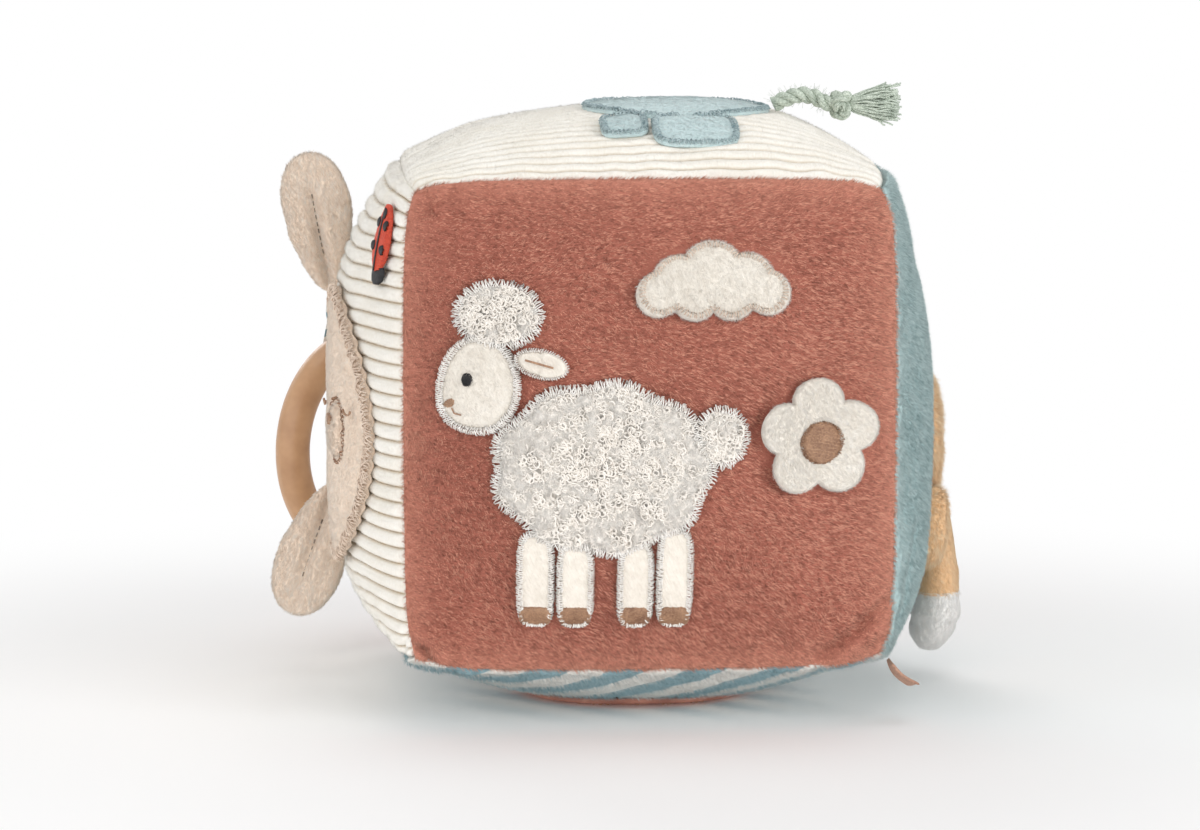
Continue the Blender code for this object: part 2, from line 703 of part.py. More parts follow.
def add_ear(name, *placing):
    """A stuffed leaf shape: two cloth layers sewn at the rim, with wadding between them."""
    root, along, across, through = ear_frame(*placing)
    middle = root + along * (EAR_LENGTH / 2)
    pivot = add_pivot(name + "_axis", root)
    belly = 1 - EAR_NARROWING_SHARE * (1 - 0.6)

    def ring(share, inset, depth):
        points = []
        for angle in spokes(SPOKES):
            place = 0.5 + 0.5 * math.cos(angle)
            swell = (1 - EAR_NARROWING_SHARE * (1 - place)) / belly
            x = math.sin(angle) * swell * EAR_HALF_WIDTH
            y = math.cos(angle) * EAR_LENGTH / 2
            scale = share * (1 - inset / EAR_HALF_WIDTH)
            points.append(middle + across * x * scale + along * y * scale + depth)
        return points

    def dome(inset, side):
        rise = EAR_HALF_THICKNESS - inset
        return [
            ring(share, inset, through * (side * rise * math.sqrt(1 - share ** 2)))
            for share in DOME_SHARES
        ]

    for layer, side in (("front", -1), ("back", 1)):
        seam = through * (side * SEAM_GAP / 2)
        rings = dome(0, side) + [ring(1, 0, seam), ring(1, EAR_WALL, seam)]
        rings += reversed(dome(EAR_WALL, side))
        start = middle + through * (side * EAR_HALF_THICKNESS)
        end = middle + through * (side * (EAR_HALF_THICKNESS - EAR_WALL))
        add_rings(f"{name}_{layer}", start, rings, end, "beige_plush", pivot)

    inset = EAR_WALL + SEAT_GAP
    rings = dome(inset, -1) + [ring(1, inset, Vector())] + list(reversed(dome(inset, 1)))
    rise = through * (EAR_HALF_THICKNESS - inset)
    add_rings(name + "_wadding", middle - rise, rings, middle + rise, "filling_fibre", pivot)


def build_top_appliques():
    centre = place_on(TOP_SHAPE_PLACE_SHARES)
    outline = ellipse(TOP_SHAPE_HALF_WIDTH, TOP_SHAPE_HALF_LENGTH)
    add_applique("top_applique", "top", centre, outline, PLUSH_THICKNESS, "blue_velour",
                 shares=WIDE_PAD_SHARES)
    feet = (
        ("top_foot_small", -1, FOOT_SMALL_HALF_WIDTH, FOOT_SMALL_HALF_LENGTH),
        ("top_foot_large", 1, FOOT_LARGE_HALF_WIDTH, FOOT_LARGE_HALF_LENGTH),
    )
    split = centre[0] - TOP_SHAPE_HALF_WIDTH / 2 + FOOT_SMALL_HALF_WIDTH / 2
    for name, side, half_width, half_length in feet:
        x = split + side * (half_width + APPLIQUE_GAP / 2)
        inner = (x - centre[0] - side * half_width) / TOP_SHAPE_HALF_WIDTH
        outer = (x - centre[0] + side * half_width) / TOP_SHAPE_HALF_WIDTH
        lowest = 0 if inner * outer < 0 else min(abs(inner), abs(outer))
        hem = centre[1] - TOP_SHAPE_HALF_LENGTH * math.sqrt(1 - lowest ** 2)
        y = hem - APPLIQUE_GAP - half_length
        add_applique(name, "top", (x, y), rounded_box(half_width, half_length), PLUSH_THICKNESS,
                     "blue_velour", count=SMALL_SPOKES)


def smooth_route(route, steps):
    """Points of the smooth curve that passes through a route's own points."""
    ends = [route[0] * 2 - route[1], *route, route[-1] * 2 - route[-2]]
    points = []
    for i in range(1, len(ends) - 2):
        before, start, stop, after = ends[i - 1:i + 3]
        for step in range(steps):
            t = step / steps
            points.append((
                start * 2
                + (stop - before) * t
                + (before * 2 - start * 5 + stop * 4 - after) * t ** 2
                + (start * 3 - before - stop * 3 + after) * t ** 3
            ) / 2)
    points.append(route[-1])
    return points


def build_rope():
    """A short rope from the top applique's edge, with a knot and a frayed end past it."""
    route = [Vector(point) for point in ROPE_ROUTE]
    pivot = add_pivot("rope_bend_axis", route[0] + UP * (ROPE_DIAMETER / 4))
    curve = bpy.data.curves.new("rope_tail", "CURVE")
    curve.dimensions = "3D"
    curve.bevel_depth = ROPE_DIAMETER / 2
    curve.bevel_resolution = 2
    curve.use_fill_caps = True
    points = smooth_route(route, ROPE_STEPS)
    spline = curve.splines.new("POLY")
    spline.points.add(len(points) - 1)
    for place, point in zip(spline.points, points):
        place.co = (*point, 1)
    add_object("rope_tail", curve, "sage_rope", pivot, smooth=False)

    heading = (route[-1] - route[-2]).normalized()
    knot = route[-1] + Vector((KNOT_HALF_LENGTH + SEAM_GAP, 0, 0)) + heading * (ROPE_DIAMETER / 8)
    radii = Vector((KNOT_HALF_LENGTH, KNOT_HALF_WIDTH, KNOT_HALF_HEIGHT))
    add_ball("rope_knot", knot, radii, "sage_rope", pivot, 12)

    start = knot + Vector((KNOT_HALF_LENGTH + SEAM_GAP, 0, 0))
    spread = (TASSEL_END_RADIUS - TASSEL_ROOT_RADIUS)
    rings = []
    for share in (0, 0.35, 0.75, 1):
        radius = TASSEL_ROOT_RADIUS + spread * math.sin(share * math.pi / 2)
        rings.append([
            start + Vector((TASSEL_LENGTH * share, radius * math.cos(angle), radius * math.sin(angle)))
            for angle in spokes(12)
        ])
    end = start + Vector((TASSEL_LENGTH, 0, 0))
    add_rings("rope_tassel", start, rings, end, "sage_rope", pivot)


def build_animal():
    """A plush animal seen from behind: body, head and ears flat on the right panel, and a flap."""
    body = place_on(ANIMAL_PLACE_SHARES)
    body_size = (ANIMAL_RADIUS, ANIMAL_RADIUS)
    add_applique("animal_body", "right", body, ellipse(*body_size), PADDED_THICKNESS,
                 "caramel_plush", shares=WIDE_PAD_SHARES)
    head_size = (ANIMAL_HEAD_HALF_WIDTH, ANIMAL_HEAD_HALF_HEIGHT)
    head = beside(body, body_size, ANIMAL_HEAD_BEARING, head_size, APPLIQUE_GAP)
    add_applique("animal_head", "right", head, ellipse(*head_size), PADDED_THICKNESS,
                 "caramel_plush")
    for name, bearing in zip(("animal_ear_front", "animal_ear_back"), ANIMAL_EAR_BEARINGS):
        size = (ANIMAL_EAR_HALF_LENGTH, ANIMAL_EAR_HALF_LENGTH)
        ear = beside(head, head_size, bearing, size, APPLIQUE_GAP)
        outline = ellipse(ANIMAL_EAR_HALF_LENGTH, ANIMAL_EAR_HALF_WIDTH, bearing)
        add_applique(name, "right", ear, outline, PLUSH_THICKNESS, "caramel_plush",
                     count=SMALL_SPOKES)
    flap_size = (FLAP_HALF_WIDTH, FLAP_HALF_HEIGHT)
    flap = beside(body, body_size, FLAP_BEARING, flap_size, APPLIQUE_GAP)
    hinge = over_skin("right", flap[0], flap[1] + FLAP_HALF_HEIGHT, SEAT_GAP + FLAP_THICKNESS)
    pivot = add_pivot("flap_axis", hinge)
    add_applique("side_flap", "right", flap, ellipse(*flap_size), FLAP_THICKNESS, "caramel_plush",
                 pivot=pivot, count=SMALL_SPOKES)


def swell_at(share):
    """How thick the tail is at a share of its length, as a share of its thickest."""
    for (low, low_swell), (high, high_swell) in zip(TAIL_SWELL_SHARES, TAIL_SWELL_SHARES[1:]):
        if share <= high:
            part = (share - low) / (high - low)
            return low_swell + (high_swell - low_swell) * part
    return TAIL_SWELL_SHARES[-1][1]


def build_tail():
    """A stuffed tail that hangs from the right panel: its main length and a tip of another cloth."""
    body_a, body_b = place_on(ANIMAL_PLACE_SHARES)
    a = TAIL_PLACE_SHARE * HALF
    inner = max(0, abs(body_a - a) - TAIL_HALF_WIDTH * TAIL_SWELL_SHARES[1][1])
    b = body_b - math.sqrt(ANIMAL_RADIUS ** 2 - min(inner, ANIMAL_RADIUS) ** 2) - SEAT_GAP
    root = over_skin("right", a, b, SEAT_GAP)
    pivot = add_pivot("tail_axis", over_skin("right", a, b, SEAT_GAP + PADDED_THICKNESS))
    top = root + Vector((TAIL_HALF_THICKNESS * TAIL_ROOT_SHARE, 0, 0))

    def middle(share):
        sag = TAIL_BELLY_SHARE * TAIL_HALF_THICKNESS * math.sin(math.pi * share)
        return top + Vector((sag, 0, -TAIL_LENGTH * share))

    def ring(share):
        swell = swell_at(share)
        centre = middle(share)
        return [
            centre + Vector((
                TAIL_HALF_THICKNESS * swell * math.cos(angle),
                TAIL_HALF_WIDTH * swell * math.sin(angle),
                0,
            ))
            for angle in spokes(SMALL_SPOKES)
        ]

    gap_share = SEAM_GAP / TAIL_LENGTH
    runs = (
        ("tail_upper", 0, TAIL_TIP_SHARE - gap_share, "caramel_plush"),
        ("tail_tip", TAIL_TIP_SHARE, 1, "white_plush"),
    )
    for name, low, high, look in runs:
        count = max(3, round(TAIL_STEPS * (high - low)))
        shares = [low + (high - low) * i / count for i in range(count + 1)]
        add_rings(name, middle(low), [ring(share) for share in shares], middle(high), look, pivot)


def edge_line(height):
    """The back left seam's outermost point at a height."""
    return skin_point("back", HALF, height)


def ring_centre():
    corner = Vector((-HALF, HALF, 0))
    return corner + OUTWARD * RING_STANDOFF - UP * RING_DROP


def build_ring():
    """The teething ring, flat against the back left edge, and its turning axis."""
    centre = ring_centre()
    pivot = add_pivot("ring_axis", centre)
    points = []
    for angle in spokes(RING_SEGMENTS):
        arm = ALONG_EDGE * math.cos(angle) + UP * math.sin(angle)
        for side in spokes(RING_SIDES):
            points.append(
                centre
                + arm * (RING_RADIUS + RING_TUBE_RADIUS * math.cos(side))
                + OUTWARD * (RING_TUBE_RADIUS * math.sin(side))
            )
    faces = []
    for i in range(RING_SEGMENTS):
        following = (i + 1) % RING_SEGMENTS
        for j in range(RING_SIDES):
            k = (j + 1) % RING_SIDES
            faces.append((
                i * RING_SIDES + j,
                i * RING_SIDES + k,
                following * RING_SIDES + k,
                following * RING_SIDES + j,
            ))
    add_piece("ring", points, faces, "ring_plastic", pivot)


def ribbon_drop(share, width):
    """The folded ribbon's middle, from the seam (share 0) down to the loop's mouth (share 1)."""
    height = RIBBON_TOP - RIBBON_WIDTH / 2 - width
    seam = edge_line(height) + OUTWARD * SEAT_GAP
    tube, away = ribbon_tube(width)
    mouth = tube + away * (loop_radius() / math.cos(RIBBON_MOUTH_ANGLE))
    controls = (seam, seam + OUTWARD * RIBBON_LEAVE, mouth + away * RIBBON_ARRIVE, mouth)
    rest = 1 - share
    weights = (rest ** 3, 3 * rest ** 2 * share, 3 * rest * share ** 2, share ** 3)
    return sum((point * weight for point, weight in zip(controls, weights)), Vector())


def ribbon_tube(width):
    """The ring's tube centre under one place of the ribbon's width, and the way out from it."""
    angle = width / RING_RADIUS
    away = ALONG_EDGE * math.sin(angle) + UP * math.cos(angle)
    return ring_centre() + away * RING_RADIUS, away


def loop_radius():
    return RING_TUBE_RADIUS + RING_RUNNING_GAP + RIBBON_THICKNESS / 2


def ribbon_normal(share, width):
    low = min(share, 1 - TINY)
    along = ribbon_drop(low + TINY, width) - ribbon_drop(low, width)
    over = ribbon_drop(low, width + TINY) - ribbon_drop(low, width - TINY)
    return along.cross(over).normalized()


def ribbon_line(width):
    """One lengthwise line of the ribbon: down one layer, round the ring, up the other."""
    apart = (RIBBON_THICKNESS + RIBBON_LAYER_GAP) / 2
    shares = [i / RIBBON_DROP_STEPS for i in range(RIBBON_DROP_STEPS + 1)]
    down = [ribbon_drop(s, width) + ribbon_normal(s, width) * apart for s in shares]
    climb = [ribbon_drop(s, width) - ribbon_normal(s, width) * apart for s in reversed(shares)]
    tube, away = ribbon_tube(width)
    side = ribbon_normal(1, width)
    sweep = 2 * (math.pi - RIBBON_MOUTH_ANGLE)
    loop = []
    for i in range(RIBBON_LOOP_STEPS + 1):
        angle = RIBBON_MOUTH_ANGLE + sweep * i / RIBBON_LOOP_STEPS
        loop.append(tube + (away * math.cos(angle) + side * math.sin(angle)) * loop_radius())
    return down + loop + climb


def build_ribbon():
    pivot = add_pivot("ribbon_axis", edge_line(RIBBON_TOP) + OUTWARD * SEAT_GAP)
    widths = [RIBBON_WIDTH * (i / RIBBON_WIDTH_STEPS - 0.5) for i in range(RIBBON_WIDTH_STEPS + 1)]
    lines = [ribbon_line(width) for width in widths]
    outer = []
    inner = []
    for i, line in enumerate(lines):
        before = lines[max(i - 1, 0)]
        after = lines[min(i + 1, len(lines) - 1)]
        outer_line = []
        inner_line = []
        for j, point in enumerate(line):
            ahead = line[min(j + 1, len(line) - 1)]
            behind = line[max(j - 1, 0)]
            face = (ahead - behind).cross(after[j] - before[j]).normalized()
            outer_line.append(point + face * (RIBBON_THICKNESS / 2))
            inner_line.append(point - face * (RIBBON_THICKNESS / 2))
        outer.append(outer_line)
        inner.append(inner_line)
    add_slab("ring_strap", outer, inner, "striped_ribbon", pivot)


def build_patch():
    outline = ellipse(PATCH_RADIUS, PATCH_RADIUS)
    add_applique("bottom_patch", "bottom", (0, 0), outline, PATCH_THICKNESS, "brown_patch",
                 shares=WIDE_PAD_SHARES)


def build_tag():
    """A folded tag that hangs from the front end of the seam under the right panel."""
    place = skin_point("right", -TAG_PLACE_SHARE * HALF, -HALF)
    down = Vector((math.sin(TAG_TURN), 0, -math.cos(TAG_TURN)))
    across = FACES["right"][1]
    through = across.cross(down).normalized()
    root = place + down * (SEAT_GAP + TAG_THICKNESS / 2)
    pivot = add_pivot("tag_axis", root)
    grids = []
    for side in (-0.5, 0.5):
        grid = []
        for i in range(4):
            row_centre = root + down * (TAG_LENGTH * i / 3) + through * (TAG_THICKNESS * side)
            grid.append([row_centre + across * (TAG_WIDTH * j / 2) for j in (-1, 0, 1)])
        grids.append(grid)
    add_slab("side_tag", grids[0], grids[1], "tag_cloth", pivot)


def main():
    clear_scene()
    build_panels()
    build_filling()
    build_rattle()
    free_edge = build_lamb()
    build_flower(free_edge)
    build_left_appliques()
    add_ear("ear_upper", *EAR_UPPER_PLACING)
    add_ear("ear_lower", *EAR_LOWER_PLACING)
    build_top_appliques()
    build_rope()
    build_animal()
    build_tail()
    build_ring()
    build_ribbon()
    build_patch()
    build_tag()


main()
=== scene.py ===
import json
import math

import bpy
import numpy as np
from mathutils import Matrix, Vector


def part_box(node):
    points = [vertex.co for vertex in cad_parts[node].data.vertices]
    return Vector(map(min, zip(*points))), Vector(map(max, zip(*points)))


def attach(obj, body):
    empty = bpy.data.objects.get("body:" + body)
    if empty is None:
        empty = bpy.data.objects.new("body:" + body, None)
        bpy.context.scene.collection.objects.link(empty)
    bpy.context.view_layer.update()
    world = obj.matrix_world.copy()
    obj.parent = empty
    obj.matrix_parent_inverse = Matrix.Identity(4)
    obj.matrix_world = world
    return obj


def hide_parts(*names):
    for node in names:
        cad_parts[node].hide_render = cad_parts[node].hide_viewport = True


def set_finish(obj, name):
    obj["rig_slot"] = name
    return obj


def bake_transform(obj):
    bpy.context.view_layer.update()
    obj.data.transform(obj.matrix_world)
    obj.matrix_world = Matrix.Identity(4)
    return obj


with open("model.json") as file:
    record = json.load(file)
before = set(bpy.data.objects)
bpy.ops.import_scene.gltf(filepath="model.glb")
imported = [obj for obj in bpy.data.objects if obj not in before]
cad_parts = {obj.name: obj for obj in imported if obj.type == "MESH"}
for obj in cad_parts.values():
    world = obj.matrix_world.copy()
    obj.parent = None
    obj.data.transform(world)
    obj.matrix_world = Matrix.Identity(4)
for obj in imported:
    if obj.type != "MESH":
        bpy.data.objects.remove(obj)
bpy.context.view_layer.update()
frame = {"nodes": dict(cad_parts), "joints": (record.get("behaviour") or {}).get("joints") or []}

# The view
LENS = 125.8
DISTANCE = 1.176
TURN = math.radians(3.7)
TILT = math.radians(6.8)
AIM = Vector((-0.0091, 0, 0.0771))

# The sewn cube, as the frame has it
HALF = 0.065
REST_DEPTH = 0.0805
CENTRE = np.array((0, 0, 0.082))
CROWN_FULLNESS = 2.4
SAGS = {"left": (3.4, 5.2), "right": (CROWN_FULLNESS, 6.0)}
TOP_LEFT_FULLNESS = 1.5
EDGE_BOW = 0.0010
BOW_SHARPNESS = 8
CORNER_DRAW = 0.0066
LOW_CORNER_DRAW = 0.0058
CORNER_SHARPNESS = 9
X, Y, Z = np.eye(3)
FACES = {
    "front": (-Y, X, Z, 0.0180, 0),
    "back": (Y, -X, Z, 0.0180, 0),
    "left": (-X, -Y, Z, 0.0183, 0),
    "right": (X, Y, Z, 0.0172, 0),
    "top": (Z, X, Y, 0.0180, 0.18),
    "bottom": (-Z, X, -Y, 0.0180, 0),
}
TINY = 1e-5

# Cloth
ROLL_WIDTH = 0.0042
ROLL_DEPTH = 0.0019
PILE_ROLL_DEPTH = 0.0010
OVERHANG = 0.0012
GATHER = 0.0005
GATHER_PITCH = 0.0125
GATHER_REACH = 0.0090
WAVE = 0.0006
CLUMP = 0.00008
WALES = 32
WALE_HEIGHT = 0.0014
WALE_STEPS = 12
WALE_WAVER = 0.0006
WALE_BUNCH = 0.0016
LINING_SHARE = 0.96
DIP = 0.0007
DIP_WIDTH = 0.0020
UNDER = 0.0003
STREAK = 0.00046
TUFT = 0.0006
# Cloth that is not pile itself takes this tone. It is below the pile's middle tone of 0.5, so the pile
# materials darken it: painted shade at the pile's roots.
PILE_ROOT_SHADE_TONE = 0.42
PILE_LIMIT = 49000
PILE_SHARE = 1.0

# The rope's route, from the block's centre
ROPE_DIAMETER = 0.0047
ROPE_PITCH = 0.0092
ROPE_ROUTE = (
    (0.0385, -0.0080, 0.0823),
    (0.0420, -0.0085, 0.0839),
    (0.0460, -0.0092, 0.0850),
    (0.0500, -0.0098, 0.0842),
    (0.0528, -0.0102, 0.0828),
)

# The appliques
HEAD_TUCK = 0.0022
LEG_TUCK = 0.0014
HOOF_HALF_HEIGHT = 0.0024
LADYBIRD_SPOT_SHARES = ((-0.45, 0.45), (0.48, 0.38), (-0.5, -0.25), (0.46, -0.35), (0.1, 0.72))
CLOUD_LOBES = (
    (0.0, 0.12, 0.88),
    (-0.44, -0.06, 0.70),
    (0.44, -0.04, 0.73),
    (-0.705, -0.35, 0.56),
    (0.715, -0.33, 0.56),
    (-0.235, -0.35, 0.65),
    (0.235, -0.35, 0.65),
)

# The ring and its ribbon
OUTWARD = (Y - X) / math.sqrt(2)
ALONG_EDGE = (X + Y) / math.sqrt(2)
RING_RADIUS = 0.0300
RING_TUBE_RADIUS = 0.0050
RING_STANDOFF = 0.0133
RING_DROP = 0.0218
RING_RUNNING_GAP = 0.0005
RIBBON_WIDTH = 0.0220
RIBBON_THICKNESS = 0.0011
RIBBON_TOP = 0.0500
RIBBON_LEAVE = 0.0130
RIBBON_ARRIVE = 0.0100
RIBBON_LAYER_GAP = 0.0004
RIBBON_MOUTH_ANGLE = math.radians(55)

# The shape on the top
FOOT_TUCK = 0.0012

# Stitches
SATIN_ARCH = 0.00025
EDGE_RADIUS = 0.00020

# Flap, ears and tail
FLAP_BEND = 0.0030
EAR_LENGTH = 0.0400
EAR_HALF_WIDTH = 0.0100
EAR_HALF_THICKNESS = 0.0046
EAR_NARROWING = 0.50
TAIL_ROUND_FROM = 0.80
TAIL_SWELLS = ((0.0, 0.30), (0.08, 0.60), (0.35, 0.76), (0.75, 1.0), (0.92, 0.72), (1.0, 0.22))
TAIL_LENGTH = 0.0435
TAIL_HALF_WIDTH = 0.0110
TAIL_HALF_THICKNESS = 0.0068
TAIL_BELLY_SHARE = 0.30
TAIL_TIP_SHARE = 0.60

# The tag
TAG_WIDTH = 0.0090
TAG_LENGTH = 0.0092
TAG_TURN = math.radians(43)
TAG_TWIST = math.radians(16)

# The floor and the surround
FLOOR_REACH = 3.0
# The floor near the block glows with this strength for every ray but those from the camera, mirrors and
# glass: painted light, a hidden glow that lifts the block's lower parts.
FLOOR_BOUNCE = 0.22
FLOOR_NEAR = 0.16
FLOOR_FAR = 0.36
AMBIENT = 0.52

# Lamps: name, place, width and power
LAMP_AIM = (0, 0, 0.08)
LAMPS = (
    ("key", (-0.55, -1.45, 0.48), 1.1, 4.6),
    ("fill", (1.15, -1.15, 0.42), 1.2, 12.8),
    ("side", (-1.30, -0.70, 0.55), 1.2, 4.4),
    ("overhead", (0.15, 0.05, 1.60), 1.3, 4.4),
    ("rear", (-0.30, 1.40, 0.80), 1.2, 6.5),
)

BODIES = {joint["name"]: joint for joint in frame["joints"]}


def linear(red, green, blue):
    """A colour as a screen shows it, from 0 to 255, as a shader takes it."""
    values = [channel / 255 for channel in (red, green, blue)]
    return (*[v / 12.92 if v <= 0.04045 else ((v + 0.055) / 1.055) ** 2.4 for v in values], 1)


def add_node(tree, kind, values=(), output=0, **settings):
    """A shader node's output, with its settings made and its inputs set to values or linked."""
    made = tree.nodes.new("ShaderNode" + kind)
    for key, value in settings.items():
        setattr(made, key, value)
    for socket, value in dict(values).items():
        if isinstance(value, bpy.types.NodeSocket):
            tree.links.new(value, made.inputs[socket])
        else:
            made.inputs[socket].default_value = value
    return made.outputs[output]


class Finish:
    """A procedural material, built up by short calls. Places are in metres."""

    def __init__(self, name, **sockets):
        self.material = bpy.data.materials.new(name)
        self.material.use_nodes = True
        self.tree = self.material.node_tree
        self.shader = self.tree.nodes["Principled BSDF"]
        for socket, value in sockets.items():
            self.shader.inputs[socket.replace("_", " ")].default_value = value

    def node(self, kind, values, output=0, **settings):
        return add_node(self.tree, kind, values, output, **settings)

    def place(self):
        return self.node("Attribute", {}, "Vector", attribute_name="place")

    def value(self, name):
        return self.node("Attribute", {}, "Fac", attribute_name=name)

    def stretched(self, vector, scale, turn=0.0):
        turned = self.node("Mapping", {"Vector": vector, "Rotation": (0, 0, turn)})
        return self.node("Mapping", {"Vector": turned, "Scale": scale})

    def noise(self, vector, scale, detail=2.0, roughness=0.5):
        values = {"Vector": vector, "Scale": scale, "Detail": detail, "Roughness": roughness}
        return self.node("TexNoise", values)

    def math(self, operation, first, second=0.0):
        return self.node("Math", {0: first, 1: second}, operation=operation)

    def weigh(self, *parts):
        """The sum of some values, each times its weight."""
        total, *others = (self.math("MULTIPLY", value, weight) for value, weight in parts)
        for other in others:
            total = self.math("ADD", total, other)
        return total

    def stripes(self, lane, pitch, edge):
        """Lanes of 0 and 1 by turns, with an edge of a given softness."""
        wave = self.math("SINE", self.math("MULTIPLY", lane, 2 * math.pi / pitch))
        share = self.math("ADD", self.math("MULTIPLY", wave, 0.5), 0.5)
        return self.ramp(share, (0.5 - edge, grey(0)), (0.5 + edge, grey(1)))

    def ramp(self, factor, *stops):
        output = self.node("ValToRGB", {"Fac": factor})
        elements = output.node.color_ramp.elements
        while len(elements) < len(stops):
            elements.new(0.5)
        for element, (position, colour) in zip(elements, stops):
            element.position = position
            element.color = colour
        return output

    def mix(self, factor, first, second, blend="MIX"):
        return self.node("Mix", {0: factor, 6: first, 7: second}, 2, data_type="RGBA", blend_type=blend)

    def colour(self, socket):
        self.tree.links.new(socket, self.shader.inputs["Base Color"])
        return self

    def rough(self, socket):
        self.tree.links.new(socket, self.shader.inputs["Roughness"])
        return self

    def bump(self, height, distance, strength=1.0):
        normal = self.node("Bump", {"Height": height, "Distance": distance, "Strength": strength})
        self.tree.links.new(normal, self.shader.inputs["Normal"])
        return self


def grey(value):
    return (value, value, value, 1)


def velour(name, dark, middle, light, stripe=None, stripe_pitch=0.0, turn=0.2):
    """Short pile: each tuft's own tone and patches where it lies differently, with painted highlight on the
    tips and along the seams.
    """
    made = Finish(name, Roughness=0.9, Sheen_Weight=0.4, Sheen_Roughness=0.4, Sheen_Tint=light)
    place = made.place()
    broad = made.noise(place, 30, 2)
    streak = made.noise(made.stretched(place, (900, 2400, 900), turn), 1, 3, 0.6)
    tone = made.weigh((broad, 0.16), (streak, 0.16), (made.value("tone"), 0.80))
    colour = made.ramp(tone, (0.22, dark), (0.55, middle), (0.90, light))
    if stripe:
        wobble = made.math("MULTIPLY", made.noise(place, 260, 2), 0.0016)
        lane = made.node("SeparateXYZ", {0: made.stretched(place, (1, 1, 1), math.radians(45))})
        band = made.stripes(made.math("ADD", lane, wobble), stripe_pitch, 0.03)
        colour = made.mix(band, colour, made.ramp(tone, (0.22, tinted(stripe, 0.84)), (0.60, stripe)))
    else:
        # Painted highlight: the pile is mixed towards the light colour near the seams, where it rolls over.
        colour = made.mix(made.math("MULTIPLY", made.value("seam"), 0.60), colour, light)
    # Painted highlight: each spike is mixed towards the light colour at its tip.
    made.colour(made.mix(made.math("MULTIPLY", made.value("tip"), 0.25), colour, light))
    return made.bump(streak, 0.0005, 0.8).material


def tinted(colour, share):
    return (*[channel * share for channel in colour[:3]], 1)


def corduroy(name, groove_shade, middle, light):
    """Wide wales of short pile with a fine crosswise grain, darkened in the grooves as painted shade."""
    made = Finish(name, Roughness=0.9, Sheen_Weight=0.15, Sheen_Roughness=0.5, Sheen_Tint=light)
    place = made.place()
    grain = made.noise(made.stretched(place, (2600, 900, 900)), 1, 3, 0.65)
    broad = made.noise(place, 60, 2)
    tone = made.weigh((grain, 0.6), (broad, 0.4))
    colour = made.ramp(tone, (0.35, middle), (0.62, light))
    # Painted shade: points deep in the grooves between the wales are mixed towards the darker shade colour.
    depth = made.ramp(made.value("groove_shade"), (0.28, grey(0)), (0.68, grey(0.55)), (0.96, grey(1)))
    made.colour(made.mix(depth, colour, groove_shade))
    return made.bump(grain, 0.0004, 0.7).material


def plush(name, dark, middle, light):
    """Longer, clumped pile, with painted highlight on its tips."""
    made = Finish(name, Roughness=0.9, Sheen_Weight=0.4, Sheen_Roughness=0.5, Sheen_Tint=light)
    place = made.place()
    clump = made.noise(place, 420, 3, 0.6)
    streak = made.noise(made.stretched(place, (500, 1700, 700), 1.1), 1, 3, 0.6)
    broad = made.noise(place, 55, 2)
    tone = made.weigh((clump, 0.25), (streak, 0.20), (broad, 0.15), (made.value("tone"), 0.40))
    colour = made.ramp(tone, (0.32, dark), (0.50, middle), (0.68, light))
    # Painted highlight: each spike is mixed towards the light colour at its tip.
    made.colour(made.mix(made.math("MULTIPLY", made.value("tip"), 0.35), colour, light))
    return made.bump(made.math("ADD", clump, streak), 0.0006, 0.8).material


def felt(name, dark, light, rough=0.95):
    """Brushed cloth: fine crossed fibres."""
    made = Finish(name, Roughness=rough, Sheen_Weight=0.15, Sheen_Roughness=0.6, Sheen_Tint=light)
    place = made.place()
    fibre = made.noise(made.stretched(place, (3400, 900, 900), 0.3), 1, 3, 0.7)
    crossed = made.noise(made.stretched(place, (900, 3200, 900), 0.2), 1, 3, 0.7)
    broad = made.noise(place, 120, 2)
    both = made.math("MULTIPLY", made.math("ADD", fibre, crossed), 0.35)
    tone = made.math("ADD", both, made.math("MULTIPLY", broad, 0.3))
    made.colour(made.ramp(tone, (0.38, dark), (0.60, light)))
    return made.bump(both, 0.0004, 0.8).material


def thread(name, dark, light, shine=0.5):
    """Spun thread: a tight diagonal twist along each strand, with a slight lustre."""
    made = Finish(name, Roughness=shine, Sheen_Weight=0.2, Sheen_Roughness=0.4, Sheen_Tint=light)
    place = made.place()
    twist = made.noise(made.stretched(place, (2600, 1300, 2600), 0.8), 1, 2, 0.6)
    broad = made.noise(place, 300, 2)
    tone = made.weigh((twist, 0.6), (broad, 0.4))
    made.colour(made.ramp(tone, (0.36, dark), (0.62, light)))
    return made.bump(twist, 0.0002, 0.6).material


def moulded(name, dark, light, rough):
    """Smooth moulded plastic with faint mottling and handling marks."""
    made = Finish(name)
    place = made.node("TexCoord", {}, "Object")
    broad = made.noise(place, 90, 3, 0.6)
    fine = made.noise(place, 1400, 2)
    made.colour(made.ramp(broad, (0.32, dark), (0.68, light)))
    low, high = grey(rough), grey(rough + 0.16)
    made.rough(made.ramp(made.noise(place, 240, 3), (0.35, low), (0.7, high)))
    return made.bump(fine, 0.00005, 0.35).material


def leathery(name, dark, middle, light):
    """Smooth coated cloth with a fine pebbled grain and broad mottling."""
    made = Finish(name, Roughness=0.5)
    place = made.place()
    cells = made.node("TexVoronoi", {"Vector": place, "Scale": 1300})
    broad = made.noise(place, 70, 3, 0.6)
    made.colour(made.ramp(broad, (0.34, dark), (0.52, middle), (0.68, light)))
    made.rough(made.ramp(made.noise(place, 500, 2), (0.3, grey(0.42)), (0.7, grey(0.6))))
    return made.bump(cells, 0.00015, 0.5).material


